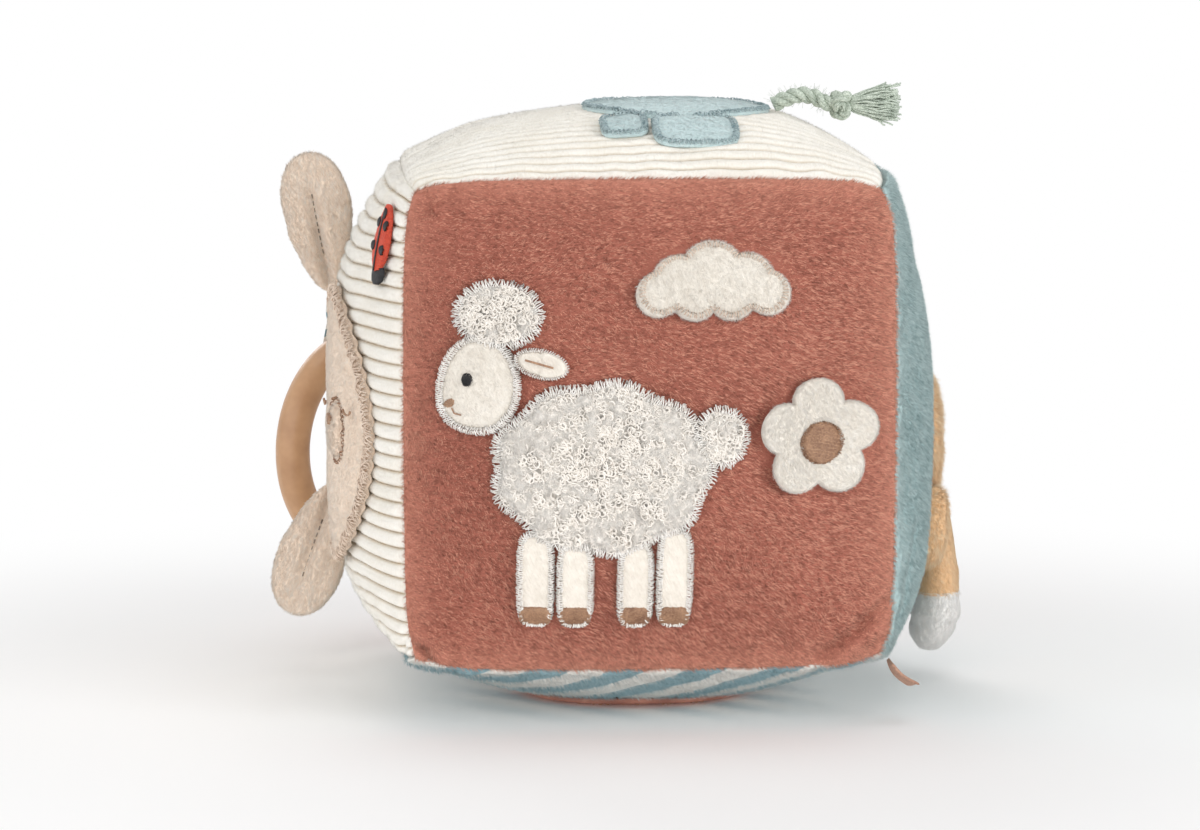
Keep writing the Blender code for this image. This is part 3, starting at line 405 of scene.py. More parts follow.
def woven(name, first, second, pitch):
    """Ribbed ribbon with slanting stripes and a fine cross weave."""
    made = Finish(name, Roughness=0.7, Sheen_Weight=0.15, Sheen_Tint=second)
    place = made.place()
    lane = made.node("SeparateXYZ", {0: made.stretched(place, (1, 1, 1), math.radians(45))})
    band = made.stripes(lane, pitch, 0.04)
    weave = made.noise(made.stretched(place, (5200, 2200, 900)), 1, 2, 0.6)
    shade = made.ramp(weave, (0.30, grey(0.72)), (0.62, grey(1)))
    made.colour(made.mix(1.0, made.mix(band, first, second), shade, "MULTIPLY"))
    return made.bump(weave, 0.0002, 0.8).material


def fibres(name, dark, light):
    """Loose crimped stuffing."""
    made = Finish(name, Roughness=1.0, Sheen_Weight=0.2)
    place = made.node("TexCoord", {}, "Object")
    crimp = made.noise(place, 600, 4, 0.7)
    made.colour(made.ramp(crimp, (0.35, dark), (0.62, light)))
    return made.bump(crimp, 0.001, 0.8).material


TERRACOTTA = velour("terracotta_pile", linear(112, 56, 44), linear(184, 113, 95), linear(230, 166, 142))
BLUE = velour("blue_pile", linear(112, 144, 146), linear(162, 188, 189), linear(200, 219, 218), turn=1.4)
STRIPED = velour("striped_pile", linear(112, 146, 154), linear(138, 168, 176), linear(166, 192, 198),
                 stripe=linear(236, 231, 223), stripe_pitch=0.0150)
# The first colour is the painted shade in the grooves between the wales.
CORDUROY = corduroy("cream_wales", linear(196, 174, 142), linear(240, 234, 222), linear(251, 248, 241))
# The right panel's blue pile, made paler for the shape on the top: painted sheen, as the top is seen at a
# grazing angle.
SHEEN_LIT_BLUE = velour("sheen_lit_blue_pile", linear(170, 199, 201), linear(214, 234, 235), linear(236, 246, 246))
BEIGE = plush("beige_pile", linear(224, 196, 171), linear(250, 228, 207), linear(254, 243, 230))
CARAMEL = plush("caramel_pile", linear(208, 158, 108), linear(244, 200, 153), linear(252, 226, 190))
WHITE = plush("white_pile", linear(244, 238, 230), linear(253, 250, 246), linear(255, 254, 252))
FUR = plush("cream_pile", linear(214, 204, 190), linear(240, 233, 222), linear(252, 248, 241))
FLEECE = plush("white_loops", linear(224, 216, 206), linear(248, 242, 234), linear(254, 251, 246))
CREAM_THREAD = thread("cream_thread", linear(232, 227, 219), linear(252, 249, 245), 0.7)
BEIGE_THREAD = thread("beige_thread", linear(198, 174, 154), linear(238, 220, 203), 0.8)
TAN_THREAD = thread("tan_thread", linear(132, 96, 74), linear(182, 144, 114))
GREY_THREAD = thread("grey_thread", linear(108, 92, 78), linear(150, 132, 114))
SILVER_THREAD = thread("silver_thread", linear(110, 136, 144), linear(196, 212, 214))
RED_THREAD = thread("red_thread", linear(186, 58, 36), linear(226, 88, 58))
BLACK_THREAD = thread("black_thread", linear(18, 18, 20), linear(48, 47, 50))
ROPE = thread("sage_yarn", linear(158, 170, 156), linear(212, 221, 208), 0.85)
RING = moulded("ring_satin", linear(176, 134, 98), linear(198, 156, 118), 0.30)
RATTLE = moulded("rattle_satin", linear(190, 208, 222), linear(222, 232, 240), 0.35)
PATCH = leathery("brown_coated", linear(136, 84, 70), linear(176, 118, 100), linear(206, 150, 130))
TAG = felt("tag_weave", linear(140, 100, 82), linear(190, 150, 128), 0.7)
RIBBON = woven("ribbon_weave", linear(116, 148, 158), linear(236, 231, 223), 0.0042)
FIBRE = fibres("fibre_fill", linear(214, 212, 208), linear(245, 244, 242))

# What a stitch is made of: its thread and its slot
TAN_STITCH = (TAN_THREAD, "tan_stitching")
BLACK_STITCH = (BLACK_THREAD, "black_stitching")
RED_STITCH = (RED_THREAD, "red_stitching")
FELT_STITCH = (CREAM_THREAD, "cream_felt")


def hashed(corner, seed):
    """A number from -1 to 1 for each whole-numbered corner of a lattice."""
    mixed = corner @ np.array((73856093, 19349663, 83492791), dtype=np.int64) + seed * 2654435761
    mixed = (mixed ^ (mixed >> 13)) * 1274126177 & 0x7FFFFFFF
    mixed = (mixed ^ (mixed >> 16)) & 0xFFFF
    return mixed / 32767.5 - 1


def rumple(points, size, seed=0):
    """Smooth random values from -1 to 1 at points, with bumps of a given size."""
    scaled = np.asarray(points) / size
    low = np.floor(scaled).astype(np.int64)
    part = scaled - low
    part = part * part * (3 - 2 * part)
    total = 0
    for shift in np.ndindex(2, 2, 2):
        shift = np.array(shift)
        weight = np.prod(np.where(shift == 1, part, 1 - part), axis=-1)
        total = total + weight * hashed(low + shift, seed)
    return total


def flat_rumple(a, b, size, seed=0):
    return rumple(np.stack([a, b, np.zeros_like(a)], axis=-1), size, seed)


def unit(vectors):
    return vectors / np.maximum(np.linalg.norm(vectors, axis=-1, keepdims=True), 1e-12)


def fullness(share, skew=0.0, power=CROWN_FULLNESS):
    return 1 - np.abs(share - skew * (1 - share ** 2)) ** power


def skin(face, a, b):
    """Points of the block's outer skin, a across and b up from the middle of a face."""
    normal, across, up, crown, skew = FACES[face]
    a, b = np.broadcast_arrays(np.asarray(a, dtype=float), np.asarray(b, dtype=float))
    u, v = a / HALF, b / HALF
    to_side = np.where(u < 0, -1, 1)[..., None] * across
    to_end = np.where(v < 0, -1, 1)[..., None] * up
    upper, lower = SAGS.get(face, (CROWN_FULLNESS, CROWN_FULLNESS))
    sideways = CROWN_FULLNESS + (face == "top") * TOP_LEFT_FULLNESS * np.clip((-u - 0.2) / 0.5, 0, 1)
    rise = HALF + crown * fullness(u, skew, sideways) * fullness(v, 0, np.where(v > 0, upper, lower))
    points = rise[..., None] * normal + a[..., None] * across + b[..., None] * up
    bow_u = EDGE_BOW / math.sqrt(2) * np.abs(u) ** BOW_SHARPNESS * (1 - v * v)
    bow_v = EDGE_BOW / math.sqrt(2) * np.abs(v) ** BOW_SHARPNESS * (1 - u * u)
    draw = np.where(points[..., 2] > 0, CORNER_DRAW, LOW_CORNER_DRAW) / math.sqrt(3)
    draw = draw * np.abs(u * v) ** CORNER_SHARPNESS
    points += bow_u[..., None] * (normal + to_side) + bow_v[..., None] * (normal + to_end)
    points -= draw[..., None] * (normal + to_side + to_end)
    if face == "bottom":
        points[..., 2] = np.maximum(points[..., 2], -REST_DEPTH)
    return points + CENTRE


def skin_normal(face, a, b):
    slope_a = skin(face, a + TINY, b) - skin(face, a - TINY, b)
    slope_b = skin(face, a, b + TINY) - skin(face, a, b - TINY)
    return unit(np.cross(slope_a, slope_b))


def over(face, a, b, height):
    """Points at a height over the skin of a face."""
    return skin(face, a, b) + skin_normal(face, a, b) * np.asarray(height)[..., None]


def spot(node):
    """The face that a node lies on, its middle there and its half sizes, from the frame."""
    low, high = (np.array(corner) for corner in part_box(node))
    face = FACE_OF[node]
    _, across, up, _, _ = FACES[face]
    middle = (low + high) / 2 - CENTRE
    size = (high - low) / 2
    return face, (middle @ across, middle @ up), (np.abs(size @ across), np.abs(size @ up))


FRONT_NODES = ("lamb_fleece", "lamb_head", "lamb_topknot", "lamb_ear", "lamb_tail", "lamb_leg_1",
               "lamb_leg_2", "lamb_leg_3", "lamb_leg_4", "cloud", "flower_petals", "flower_centre")
LEFT_NODES = ("ladybird_body", "ladybird_head", "bear_head", "bear_muzzle")
TOP_NODES = ("top_applique", "top_foot_small", "top_foot_large")
RIGHT_NODES = ("animal_body", "animal_head", "animal_ear_front", "animal_ear_back", "side_flap")
FACE_OF = {
    **dict.fromkeys(FRONT_NODES, "front"),
    **dict.fromkeys(LEFT_NODES, "left"),
    **dict.fromkeys(TOP_NODES, "top"),
    **dict.fromkeys(RIGHT_NODES, "right"),
    "bottom_patch": "bottom",
}
OUTER_FACES = {}


def build_mesh(name, points, groups, attributes, normals=None):
    """A mesh from points and groups of faces, each group an array with one face to a row."""
    mesh = bpy.data.meshes.new(name)
    points = np.asarray(points, dtype=np.float32)
    mesh.vertices.add(len(points))
    mesh.vertices.foreach_set("co", points.ravel())
    corners = np.concatenate([group.ravel() for group in groups]).astype(np.int32)
    counts = np.concatenate([np.full(len(group), group.shape[1]) for group in groups])
    mesh.loops.add(len(corners))
    mesh.loops.foreach_set("vertex_index", corners)
    mesh.polygons.add(len(counts))
    mesh.polygons.foreach_set("loop_start", (np.cumsum(counts) - counts).astype(np.int32))
    # Every mesh but the pile starts at the low tone: painted shade under the pile.
    attributes = {"tone": np.full(len(points), PILE_ROOT_SHADE_TONE), **attributes}
    for key, values in attributes.items():
        kind = "FLOAT_VECTOR" if values.ndim == 2 else "FLOAT"
        made = mesh.attributes.new(key, kind, "POINT")
        made.data.foreach_set("vector" if values.ndim == 2 else "value", values.astype(np.float32).ravel())
    mesh.update(calc_edges=True)
    mesh.validate()
    mesh.polygons.foreach_set("use_smooth", np.ones(len(mesh.polygons), dtype=bool))
    if normals is not None:
        mesh.normals_split_custom_set_from_vertices(unit(normals).tolist())
    return mesh


def settle(name, mesh, material, slot, body="block", nodes=(), bend=None):
    """Put a mesh in the scene as a piece that rides on a body, or bends between the block and it."""
    mesh.materials.append(material)
    piece = bpy.data.objects.new(name, mesh)
    bpy.context.collection.objects.link(piece)
    if bend is None:
        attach(piece, body)
    else:
        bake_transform(piece)
    if nodes:
        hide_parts(*nodes)
    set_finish(piece, slot)
    return piece


def sheet_of(rows, columns, wrap=False):
    """Quads between the points of a grid, closed round its columns if it wraps."""
    index = np.arange(rows * columns).reshape(rows, columns)
    if wrap:
        index = np.concatenate([index, index[:, :1]], axis=1)
    return np.stack([index[:-1, :-1], index[:-1, 1:], index[1:, 1:], index[1:, :-1]], axis=-1).reshape(-1, 4)


def fan(centre, ring, flip=False):
    """Triangles from one point to a closed ring of points."""
    following = np.roll(ring, -1)
    pair = (following, ring) if flip else (ring, following)
    return np.stack([np.full(len(ring), centre), *pair], axis=-1)


def tube_faces(rows, count, flip=False):
    """Faces of a tube of points, closed by two more points, one at each end."""
    total = rows * count
    quads = sheet_of(rows, count, wrap=True)
    first, last = np.arange(count), np.arange(total - count, total)
    return [quads[:, ::-1] if flip else quads, fan(total, first, not flip), fan(total + 1, last, flip)]


def rim_of(index):
    """The border of a grid, once round."""
    return np.concatenate([index[0, :-1], index[:-1, -1], index[-1, :0:-1], index[:0:-1, 0]])


def two_sided(front, back):
    """Points and faces of thin closed cloth between two grids of points."""
    rows, columns, _ = front.shape
    total = rows * columns
    rim = rim_of(np.arange(total).reshape(rows, columns))
    after = np.roll(rim, -1)
    walls = np.stack([rim, after, after + total, rim + total], axis=-1)
    quads = sheet_of(rows, columns)
    points = np.concatenate([front.reshape(-1, 3), back.reshape(-1, 3)])
    return points, [quads, (quads + total)[:, ::-1], walls[:, ::-1]]


def scatter(mesh, count, rng, faces):
    """Even random points on a mesh's first faces, with their normals, places and seam shares."""
    mesh.calc_loop_triangles()
    size = len(mesh.loop_triangles)
    triangles = np.empty(size * 3, dtype=np.int32)
    owners = np.empty(size, dtype=np.int32)
    mesh.loop_triangles.foreach_get("vertices", triangles)
    mesh.loop_triangles.foreach_get("polygon_index", owners)
    triangles = triangles.reshape(-1, 3)[owners < faces]
    sources = [(mesh.vertices, "co", 3), (mesh.vertex_normals, "vector", 3),
               (mesh.attributes["place"].data, "vector", 3)]
    if "seam" in mesh.attributes:
        sources.append((mesh.attributes["seam"].data, "value", 1))
    columns = []
    for source, field, width in sources:
        values = np.empty(len(mesh.vertices) * width, dtype=np.float32)
        source.foreach_get(field, values)
        columns.append(values.reshape(-1, width).astype(float))
    read = np.concatenate(columns, axis=1)
    first, second, third = (read[triangles[:, i], :3] for i in range(3))
    areas = np.linalg.norm(np.cross(second - first, third - first), axis=1)
    picked = triangles[rng.choice(len(triangles), count, p=areas / areas.sum())]
    weights = rng.random((count, 2))
    weights = np.where(weights.sum(axis=1, keepdims=True) > 1, 1 - weights, weights)
    weights = np.column_stack([1 - weights.sum(axis=1), weights])
    found = (read[picked] * weights[..., None]).sum(axis=1)
    seam = found[:, 9] if found.shape[1] > 9 else np.zeros(count)
    return found[:, :3], unit(found[:, 3:6]), found[:, 6:9], seam


def cropped(face, places):
    """How long the pile of a panel stays: none under an applique, and less close beside one."""
    share = np.ones(len(places))
    for node, where in FACE_OF.items():
        if where == face:
            _, centre, (half_width, half_height) = spot(node)
            off = np.hypot((places[:, 0] - centre[0]) / half_width,
                           (places[:, 1] - centre[1]) / half_height) - 1
            off = off * (half_width + half_height) / 2
            share = np.minimum(share, np.where(off < -0.0012, 0, np.clip(0.55 + off / 0.005, 0.45, 1)))
    return share


def add_pile(piece, count, length, width, lean, stand=0.5, seed=1, swirl=0.6, contrast=1.0, tufts=0.8,
             face=None, **placing):
    """Fine closed spikes of pile all over a piece, leaning one way with a slow swirl.

    Spikes beside each other lean together in small tufts, and share a tone and a length in short
    streaks along the way they lie."""
    count = int(count * PILE_SHARE)
    for number in range(-(-count // PILE_LIMIT)):
        rng = np.random.default_rng(seed + 1000 * number)
        size = min(PILE_LIMIT, count - number * PILE_LIMIT)
        roots, normals, places, seam = scatter(piece.data, size, rng, OUTER_FACES[piece.name])
        crop = cropped(face, places) if face else np.ones(size)
        roots, normals, places, seam, crop = (part[crop > 0] for part in (roots, normals, places, seam, crop))
        size = len(roots)
        lay_way = unit(np.asarray(lean, dtype=float))
        drawn = roots - (roots @ lay_way)[:, None] * lay_way * 0.62
        streaks = rumple(drawn, STREAK, seed + 7) + 0.7 * rumple(drawn, STREAK * 0.45, seed + 8)
        way = np.asarray(lean, dtype=float) + swirl * np.stack(
            [rumple(roots, 0.016, seed + axis) for axis in range(3)], axis=-1)
        way = way + tufts * np.stack([rumple(roots, TUFT, seed + 20 + axis) for axis in range(3)], axis=-1)
        way = way + rng.normal(0, 0.16, (size, 3))
        way = unit(way - (way * normals).sum(axis=1, keepdims=True) * normals)
        heading = unit(normals * stand + way * (1 - stand))
        reach = length * rng.uniform(0.6, 1.1, (size, 1)) * (1 + 0.30 * streaks[:, None]) * crop[:, None]
        tips = roots + heading * reach
        tips[:, 2] = np.maximum(tips[:, 2], UNDER)
        roots = roots - normals * UNDER / 2
        side = unit(np.cross(heading, rng.normal(0, 1, (size, 3)))) * width / 2
        other = np.cross(heading, side)
        spikes = [roots + side, roots - side / 2 + other * 0.87, roots - side / 2 - other * 0.87, tips]
        points = np.stack(spikes, axis=1).reshape(-1, 3)
        base = np.arange(size)[:, None] * 4
        triangles = np.concatenate([base + np.array(face)
                                    for face in ((0, 1, 3), (1, 2, 3), (2, 0, 3), (0, 2, 1))])
        tone = np.clip(0.5 + contrast * (0.62 * streaks + rng.uniform(-0.3, 0.3, size)), 0, 1)
        attributes = {
            "place": np.repeat(places, 4, axis=0),
            # tip is 1 at each spike's point, where the pile materials paint a highlight.
            "tip": np.tile((0.0, 0.0, 0.0, 1.0), size),
            "tone": np.repeat(tone, 4),
            "seam": np.repeat(seam, 4),
        }
        shading = np.repeat(normals * 0.75 + heading * 0.45, 4, axis=0)
        name = f"{piece.name}_pile_{number + 1}"
        mesh = build_mesh(name, points, [triangles], attributes, shading)
        settle(name, mesh, piece.data.materials[0], piece["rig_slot"], **placing)


def thread_mesh(name, paths, radius, sides=4):
    """Closed round threads along paths, an array of (threads, points, 3)."""
    paths = np.asarray(paths, dtype=float)
    count, steps, _ = paths.shape
    radius = np.broadcast_to(radius, (count, steps))
    along = unit(np.gradient(paths, axis=1))
    side = unit(np.cross(along, np.array((0.31, 0.52, 0.79))))
    other = np.cross(along, side)
    angles = np.arange(sides) * 2 * np.pi / sides
    ring = side[:, :, None] * np.cos(angles)[:, None] + other[:, :, None] * np.sin(angles)[:, None]
    points = (paths[:, :, None] + ring * radius[:, :, None, None]).reshape(-1, 3)
    quads = sheet_of(steps, sides, wrap=True)
    base = np.arange(count)[:, None, None] * (steps * sides)
    quads = (base + quads[None]).reshape(-1, 4)
    start = base[:, 0] + np.arange(sides)[::-1][None]
    end = base[:, 0] + (steps - 1) * sides + np.arange(sides)[None]
    place = np.repeat(paths.reshape(-1, 3), sides, axis=0)
    return build_mesh(name, points, [quads, start, end], {"place": place})


def add_threads(name, paths, radius, material, slot, sides=4, **placing):
    return settle(name, thread_mesh(name, paths, radius, sides), material, slot, **placing)


def ellipse(half_width, half_height, turn=0.0):
    def outline(angle):
        x, y = half_width * np.cos(angle), half_height * np.sin(angle)
        return x * math.cos(turn) - y * math.sin(turn), x * math.sin(turn) + y * math.cos(turn)

    return outline


def scalloped(half_width, half_height, count, share):
    def outline(angle):
        bump = (1 + share * np.cos(count * angle)) / (1 + share)
        return half_width * bump * np.cos(angle), half_height * bump * np.sin(angle)

    return outline


def rounded_box(half_width, half_height):
    def outline(angle):
        stretch = (np.cos(angle) ** 4 + np.sin(angle) ** 4) ** 0.25
        return half_width * np.cos(angle) / stretch, half_height * np.sin(angle) / stretch

    return outline


def lobes(half_width, half_height, *circles):
    """The outline round several circles, each a middle in shares of the half sizes and a radius in
    shares of the half height."""

    def outline(angle):
        reach = np.zeros_like(angle)
        for x, y, share in circles:
            x, y, radius = x * half_width, y * half_height, share * half_height
            ahead = x * np.cos(angle) + y * np.sin(angle)
            room = radius ** 2 - x * x - y * y + ahead ** 2
            reach = np.maximum(reach, np.where(room > 0, ahead + np.sqrt(np.maximum(room, 0)), 0))
        return reach * np.cos(angle), reach * np.sin(angle)

    return outline


def muzzled(half_width, half_height, bearing, share, spread):
    """An oval that swells a little towards one bearing."""

    def outline(angle):
        off = (angle - bearing + np.pi) % (2 * np.pi) - np.pi
        swell = (1 + share * np.exp(-(off / spread) ** 2)) / (1 + share / 2)
        return half_width * swell * np.cos(angle), half_height * swell * np.sin(angle)

    return outline


def add_pad(name, face, centre, outline, thickness, material, slot, round_width=0.001, dome=0.0,
            lumps=0.0, lump_size=0.002, lift=None, rings=22, count=120, seed=0, **placing):
    """A cloth piece that lies on the skin, rounded at its rim, puffed by dome and lifted by lift."""
    angles = np.arange(count) * 2 * np.pi / count
    x, y = outline(angles)
    shares = np.sin(np.linspace(0, 1, rings) * np.pi / 2)[1:, None]
    a, b = centre[0] + x * shares, centre[1] + y * shares
    inside = (1 - shares) * np.hypot(x, y)
    roll = np.sqrt(1 - np.clip(1 - inside / round_width, 0, 1) ** 2)
    puff = 1 + dome * (1 - shares ** 2)
    raised = lift(shares, angles[None]) if lift else np.zeros_like(a)
    height = thickness * roll * puff + raised
    height = height + lumps * flat_rumple(a, b, lump_size, seed) * roll
    top = over(face, a, b, height)
    under_shares = np.array((1.0, 0.75, 0.4))[:, None]
    under_a, under_b = centre[0] + x * under_shares, centre[1] + y * under_shares
    low = lift(under_shares, angles[None]) if lift else np.zeros_like(under_a)
    bottom = over(face, under_a, under_b, low - UNDER)
    middle = np.array(centre)[:, None]
    crown = thickness * (1 + dome)
    ends = over(face, middle[0], middle[1], np.array((crown,)))
    ends = np.concatenate([ends, over(face, middle[0], middle[1], np.array((-UNDER,)))])
    points = np.concatenate([top.reshape(-1, 3), bottom.reshape(-1, 3), ends])
    rows = len(shares)
    groups = tube_faces(rows + len(under_shares), count, flip=True)
    flat_a = np.concatenate([a.ravel(), under_a.ravel(), (centre[0],) * 2])
    flat_b = np.concatenate([b.ravel(), under_b.ravel(), (centre[1],) * 2])
    place = np.column_stack([flat_a, flat_b, np.zeros_like(flat_a)])
    mesh = build_mesh(name, points, groups, {"place": place})
    piece = settle(name, mesh, material, slot, **placing)
    OUTER_FACES[piece.name] = (rows - 1) * count
    return piece


def border_paths(face, centre, outline, height, width, spacing, rng, slant=0.3, hairy=0.25):
    """Short arched stitches side by side across an outline."""
    angles = np.linspace(0, 2 * np.pi, 721)
    x, y = outline(angles)
    run = np.concatenate([[0], np.cumsum(np.hypot(np.diff(x), np.diff(y)))])
    count = int(run[-1] / spacing)
    at = (np.arange(count) + rng.uniform(-0.2, 0.2, count)) * run[-1] / count
    px, py = np.interp(at, run, x), np.interp(at, run, y)
    step = spacing / 2
    tx = np.interp((at + step) % run[-1], run, x) - np.interp((at - step) % run[-1], run, x)
    ty = np.interp((at + step) % run[-1], run, y) - np.interp((at - step) % run[-1], run, y)
    size = np.maximum(np.hypot(tx, ty), 1e-9)
    tx, ty = tx / size, ty / size
    lean = slant * np.where(np.arange(count) % 2, 1, -1) + rng.normal(0, hairy, count)
    ox, oy = ty + tx * lean, -tx + ty * lean
    reach = width * rng.uniform(0.8, 1.2, count)
    shares = np.linspace(-0.55, 0.45, 5)
    a = centre[0] + px[:, None] + ox[:, None] * shares * reach[:, None]
    b = centre[1] + py[:, None] + oy[:, None] * shares * reach[:, None]
    arch = np.array((0.45, 0.92, 1.0, 0.95, 0.6)) * height
    return over(face, a, b, arch[None] * rng.uniform(0.85, 1.2, (count, 1)))


def satin_paths(face, centre, outline, base, direction, spacing, rng, arch):
    """Parallel threads that fill a convex outline."""
    angles = np.linspace(0, 2 * np.pi, 361)
    x, y = outline(angles)
    c, s = math.cos(direction), math.sin(direction)
    p, q = x * c + y * s, -x * s + y * c
    lines = np.arange(q.min() + spacing / 2, q.max(), spacing)
    paths = []
    for line in lines:
        crossing = np.nonzero((q[:-1] - line) * (q[1:] - line) <= 0)[0]
        if len(crossing) < 2:
            continue
        low, high = p[crossing].min(), p[crossing].max()
        low -= rng.uniform(0, spacing)
        high += rng.uniform(0, spacing)
        shares = np.linspace(0, 1, 7)
        along = low + (high - low) * shares
        a, b = centre[0] + along * c - line * s, centre[1] + along * s + line * c
        rise = base + arch * np.sin(np.pi * shares) ** 0.5
        rise[0] = rise[-1] = base - spacing
        paths.append(over(face, a, b, rise))
    return np.array(paths)


def line_path(face, places, height, steps):
    """One thread through places on a face."""
    places = np.array(places)
    at = np.linspace(0, len(places) - 1, steps)
    a = np.interp(at, np.arange(len(places)), places[:, 0])
    b = np.interp(at, np.arange(len(places)), places[:, 1])
    return over(face, a, b, np.full(steps, height))[None]


def add_border(name, place, outline, height, width, spacing, radius, stitch, rng, **style):
    """Border stitches round an outline at a place, which is a face and a middle on it."""
    paths = border_paths(*place, outline, height, width, spacing, rng, **style)
    add_threads(name, paths, radius, *stitch, sides=3)


def add_satin(name, place, outline, base, direction, spacing, radius, stitch, rng, arch=SATIN_ARCH,
              **placing):
    """Satin stitch over an outline at a place, which is a face and a middle on it."""
    add_threads(name, satin_paths(*place, outline, base, direction, spacing, rng, arch), radius, *stitch,
                **placing)


def add_line(name, face, places, height, radius=0.00032, stitch=TAN_STITCH, steps=12):
    """One sewn line through places on a face."""
    add_threads(name, line_path(face, places, height, steps), radius, *stitch)


def curl_paths(face, centre, outline, count, height, rng, size=0.00105):
    """Small open loops of looped fleece, spread over an outline, mostly lying on it."""
    angles = rng.uniform(0, 2 * np.pi, count)
    x, y = outline(angles)
    shares = np.sqrt(rng.random(count)) * 0.97
    a, b = centre[0] + x * shares, centre[1] + y * shares
    mounds = 0.5 + 0.5 * flat_rumple(a, b, 0.0034, 17)
    rise = height * (1 - 0.35 * shares ** 4) * (0.56 + 0.30 * mounds) * rng.uniform(0.9, 1.05, count)
    middle = over(face, a, b, rise)
    normal = skin_normal(face, a, b)
    tilt = unit(normal + rng.normal(0, 0.30, (count, 3)))
    first = unit(np.cross(tilt, rng.normal(0, 1, (count, 3))))
    second = np.cross(tilt, first)
    turn = np.linspace(0, 2.4 * np.pi, 11)
    radius = size * rng.uniform(0.6, 1.25, (count, 1, 1)) * (1 - 0.35 * turn[None, :, None] / turn[-1])
    loop = first[:, None] * np.cos(turn)[:, None] + second[:, None] * np.sin(turn)[:, None]
    drift = tilt[:, None] * (turn / turn[-1])[:, None] * size * 0.5
    return middle[:, None] + loop * radius + drift


def add_fleece(node, outline, height, count, seed, shift=(0.0, 0.0)):
    """Looped fleece: soft mounds of fine fibres with curls lying on them and a border of long stitches."""
    face, centre, _ = spot(node)
    centre = (centre[0] + shift[0], centre[1] + shift[1])
    rng = np.random.default_rng(seed)
    pad = add_pad(node + "_pad", face, centre, outline, height * 0.66, FLEECE, "white_fleece",
                  round_width=0.0026, lumps=0.0008, lump_size=0.0023, rings=44, count=220, seed=seed,
                  nodes=(node,))
    add_pile(pad, count * 26, 0.0016, 0.00016, (0, 0, -0.2), stand=0.34, seed=seed, contrast=0.4, tufts=3.0)
    paths = curl_paths(face, centre, outline, int(count * max(PILE_SHARE, 0.5)), height, rng)
    add_threads(node + "_curls", paths, 0.00024, FLEECE, "white_fleece", sides=5)
    add_border(node + "_edge", (face, centre), outline, 0.0020, 0.0044, 0.00028, EDGE_RADIUS,
               (CREAM_THREAD, "white_fleece"), rng, hairy=0.22)


def creases(a, b, lines):
    """Soft valleys with a fold beside them, each from one place to another."""
    total = np.zeros_like(a)
    for start, end, depth, width in lines:
        start, end = np.array(start), np.array(end)
        length = np.linalg.norm(end - start)
        way = (end - start) / length
        along = ((a - start[0]) * way[0] + (b - start[1]) * way[1]) / length
        bend = 0.0016 * np.sin(np.pi * np.clip(along, 0, 1))
        off = -(a - start[0]) * way[1] + (b - start[1]) * way[0] - bend
        fade = 1 / (1 + np.exp(-(along + 0.02) * 22)) / (1 + np.exp((along - 1.0) * 22))
        valley = -np.exp(-(off / width) ** 2)
        fold = 0.75 * np.exp(-((off - 2.1 * width) / (1.7 * width)) ** 2)
        total += depth * fade * (valley + fold)
    return total


CREASES = {
    "front": (
        ((0.0650, -0.0455), (0.0420, -0.0640), 0.0019, 0.0016),
        ((-0.0540, -0.0655), (-0.0655, -0.0560), 0.0016, 0.0014),
        ((-0.0655, 0.0520), (-0.0480, 0.0655), 0.0007, 0.0022),
    ),
    "right": (
        ((-0.0600, -0.0650), (-0.0480, -0.0300), 0.0012, 0.0030),
        ((-0.0600, 0.0550), (-0.0200, 0.0380), 0.0010, 0.0040),
        ((0.0650, -0.0450), (0.0450, -0.0640), 0.0018, 0.0018),
    ),
    "back": (
        ((0.0650, 0.0440), (0.0400, 0.0650), 0.0016, 0.0018),
        ((-0.0650, -0.0440), (-0.0440, -0.0650), 0.0018, 0.0018),
    ),
    "left": (
        ((-0.0600, 0.0640), (-0.0380, 0.0440), 0.0010, 0.0024),
        ((0.0640, -0.0560), (0.0480, -0.0650), 0.0012, 0.0016),
    ),
    "top": (
        ((0.0650, 0.0400), (0.0430, 0.0650), 0.0014, 0.0020),
    ),
    "bottom": (((-0.0600, 0.0400), (-0.0350, 0.0600), 0.0010, 0.0030),),
}
PATCH_FOLDS = (
    ((-0.020, -0.030), (-0.012, -0.012), 0.0006, 0.0012),
    ((0.004, -0.034), (0.010, -0.016), 0.0006, 0.0014),
)
PILE_COUNTS = {"front": 147000, "right": 98000, "back": 98000, "bottom": 49000}
PANELS = {
    "front": (TERRACOTTA, "terracotta_velour", (0.9, 0, -0.3)),
    "back": (TERRACOTTA, "terracotta_velour", (-0.9, 0, -0.3)),
    "left": (CORDUROY, "cream_corduroy", (0, 0.3, -0.8)),
    "right": (BLUE, "blue_velour", (0, -0.3, -0.9)),
    "top": (CORDUROY, "cream_corduroy", (0.3, -0.8, 0)),
    "bottom": (STRIPED, "striped_velour", (0.8, -0.3, 0)),
}


def wale_rows():
    """Rows across the wales, closer together in the grooves, and each one's height from 0 to 1."""
    shares = 0.5 - 0.5 * np.cos(np.linspace(0, np.pi, WALE_STEPS + 1)[:-1])
    share = np.append(np.tile(shares, WALES), 0.0)
    start = np.append(np.repeat(np.arange(WALES), WALE_STEPS), WALES)
    return (start + share) / WALES * 2 * HALF - HALF, (1 - np.abs(2 * share - 1) ** 2.4) ** 0.75


def wale_shift(face, a, b):
    """How far the wales waver, and how they bunch at the top's front left corner."""
    inside = np.clip((HALF - np.abs(b)) / 0.010, 0, 1)
    shift = WALE_WAVER * inside * flat_rumple(a, b * 0.3, 0.02, 5)
    if face == "top":
        near = np.exp(-((a + HALF) / 0.030) ** 2) * np.exp(-((b + HALF - 0.020) / 0.028) ** 2)
        shift -= WALE_BUNCH * near * np.clip((b + HALF) / 0.012, 0, 1)
    return shift


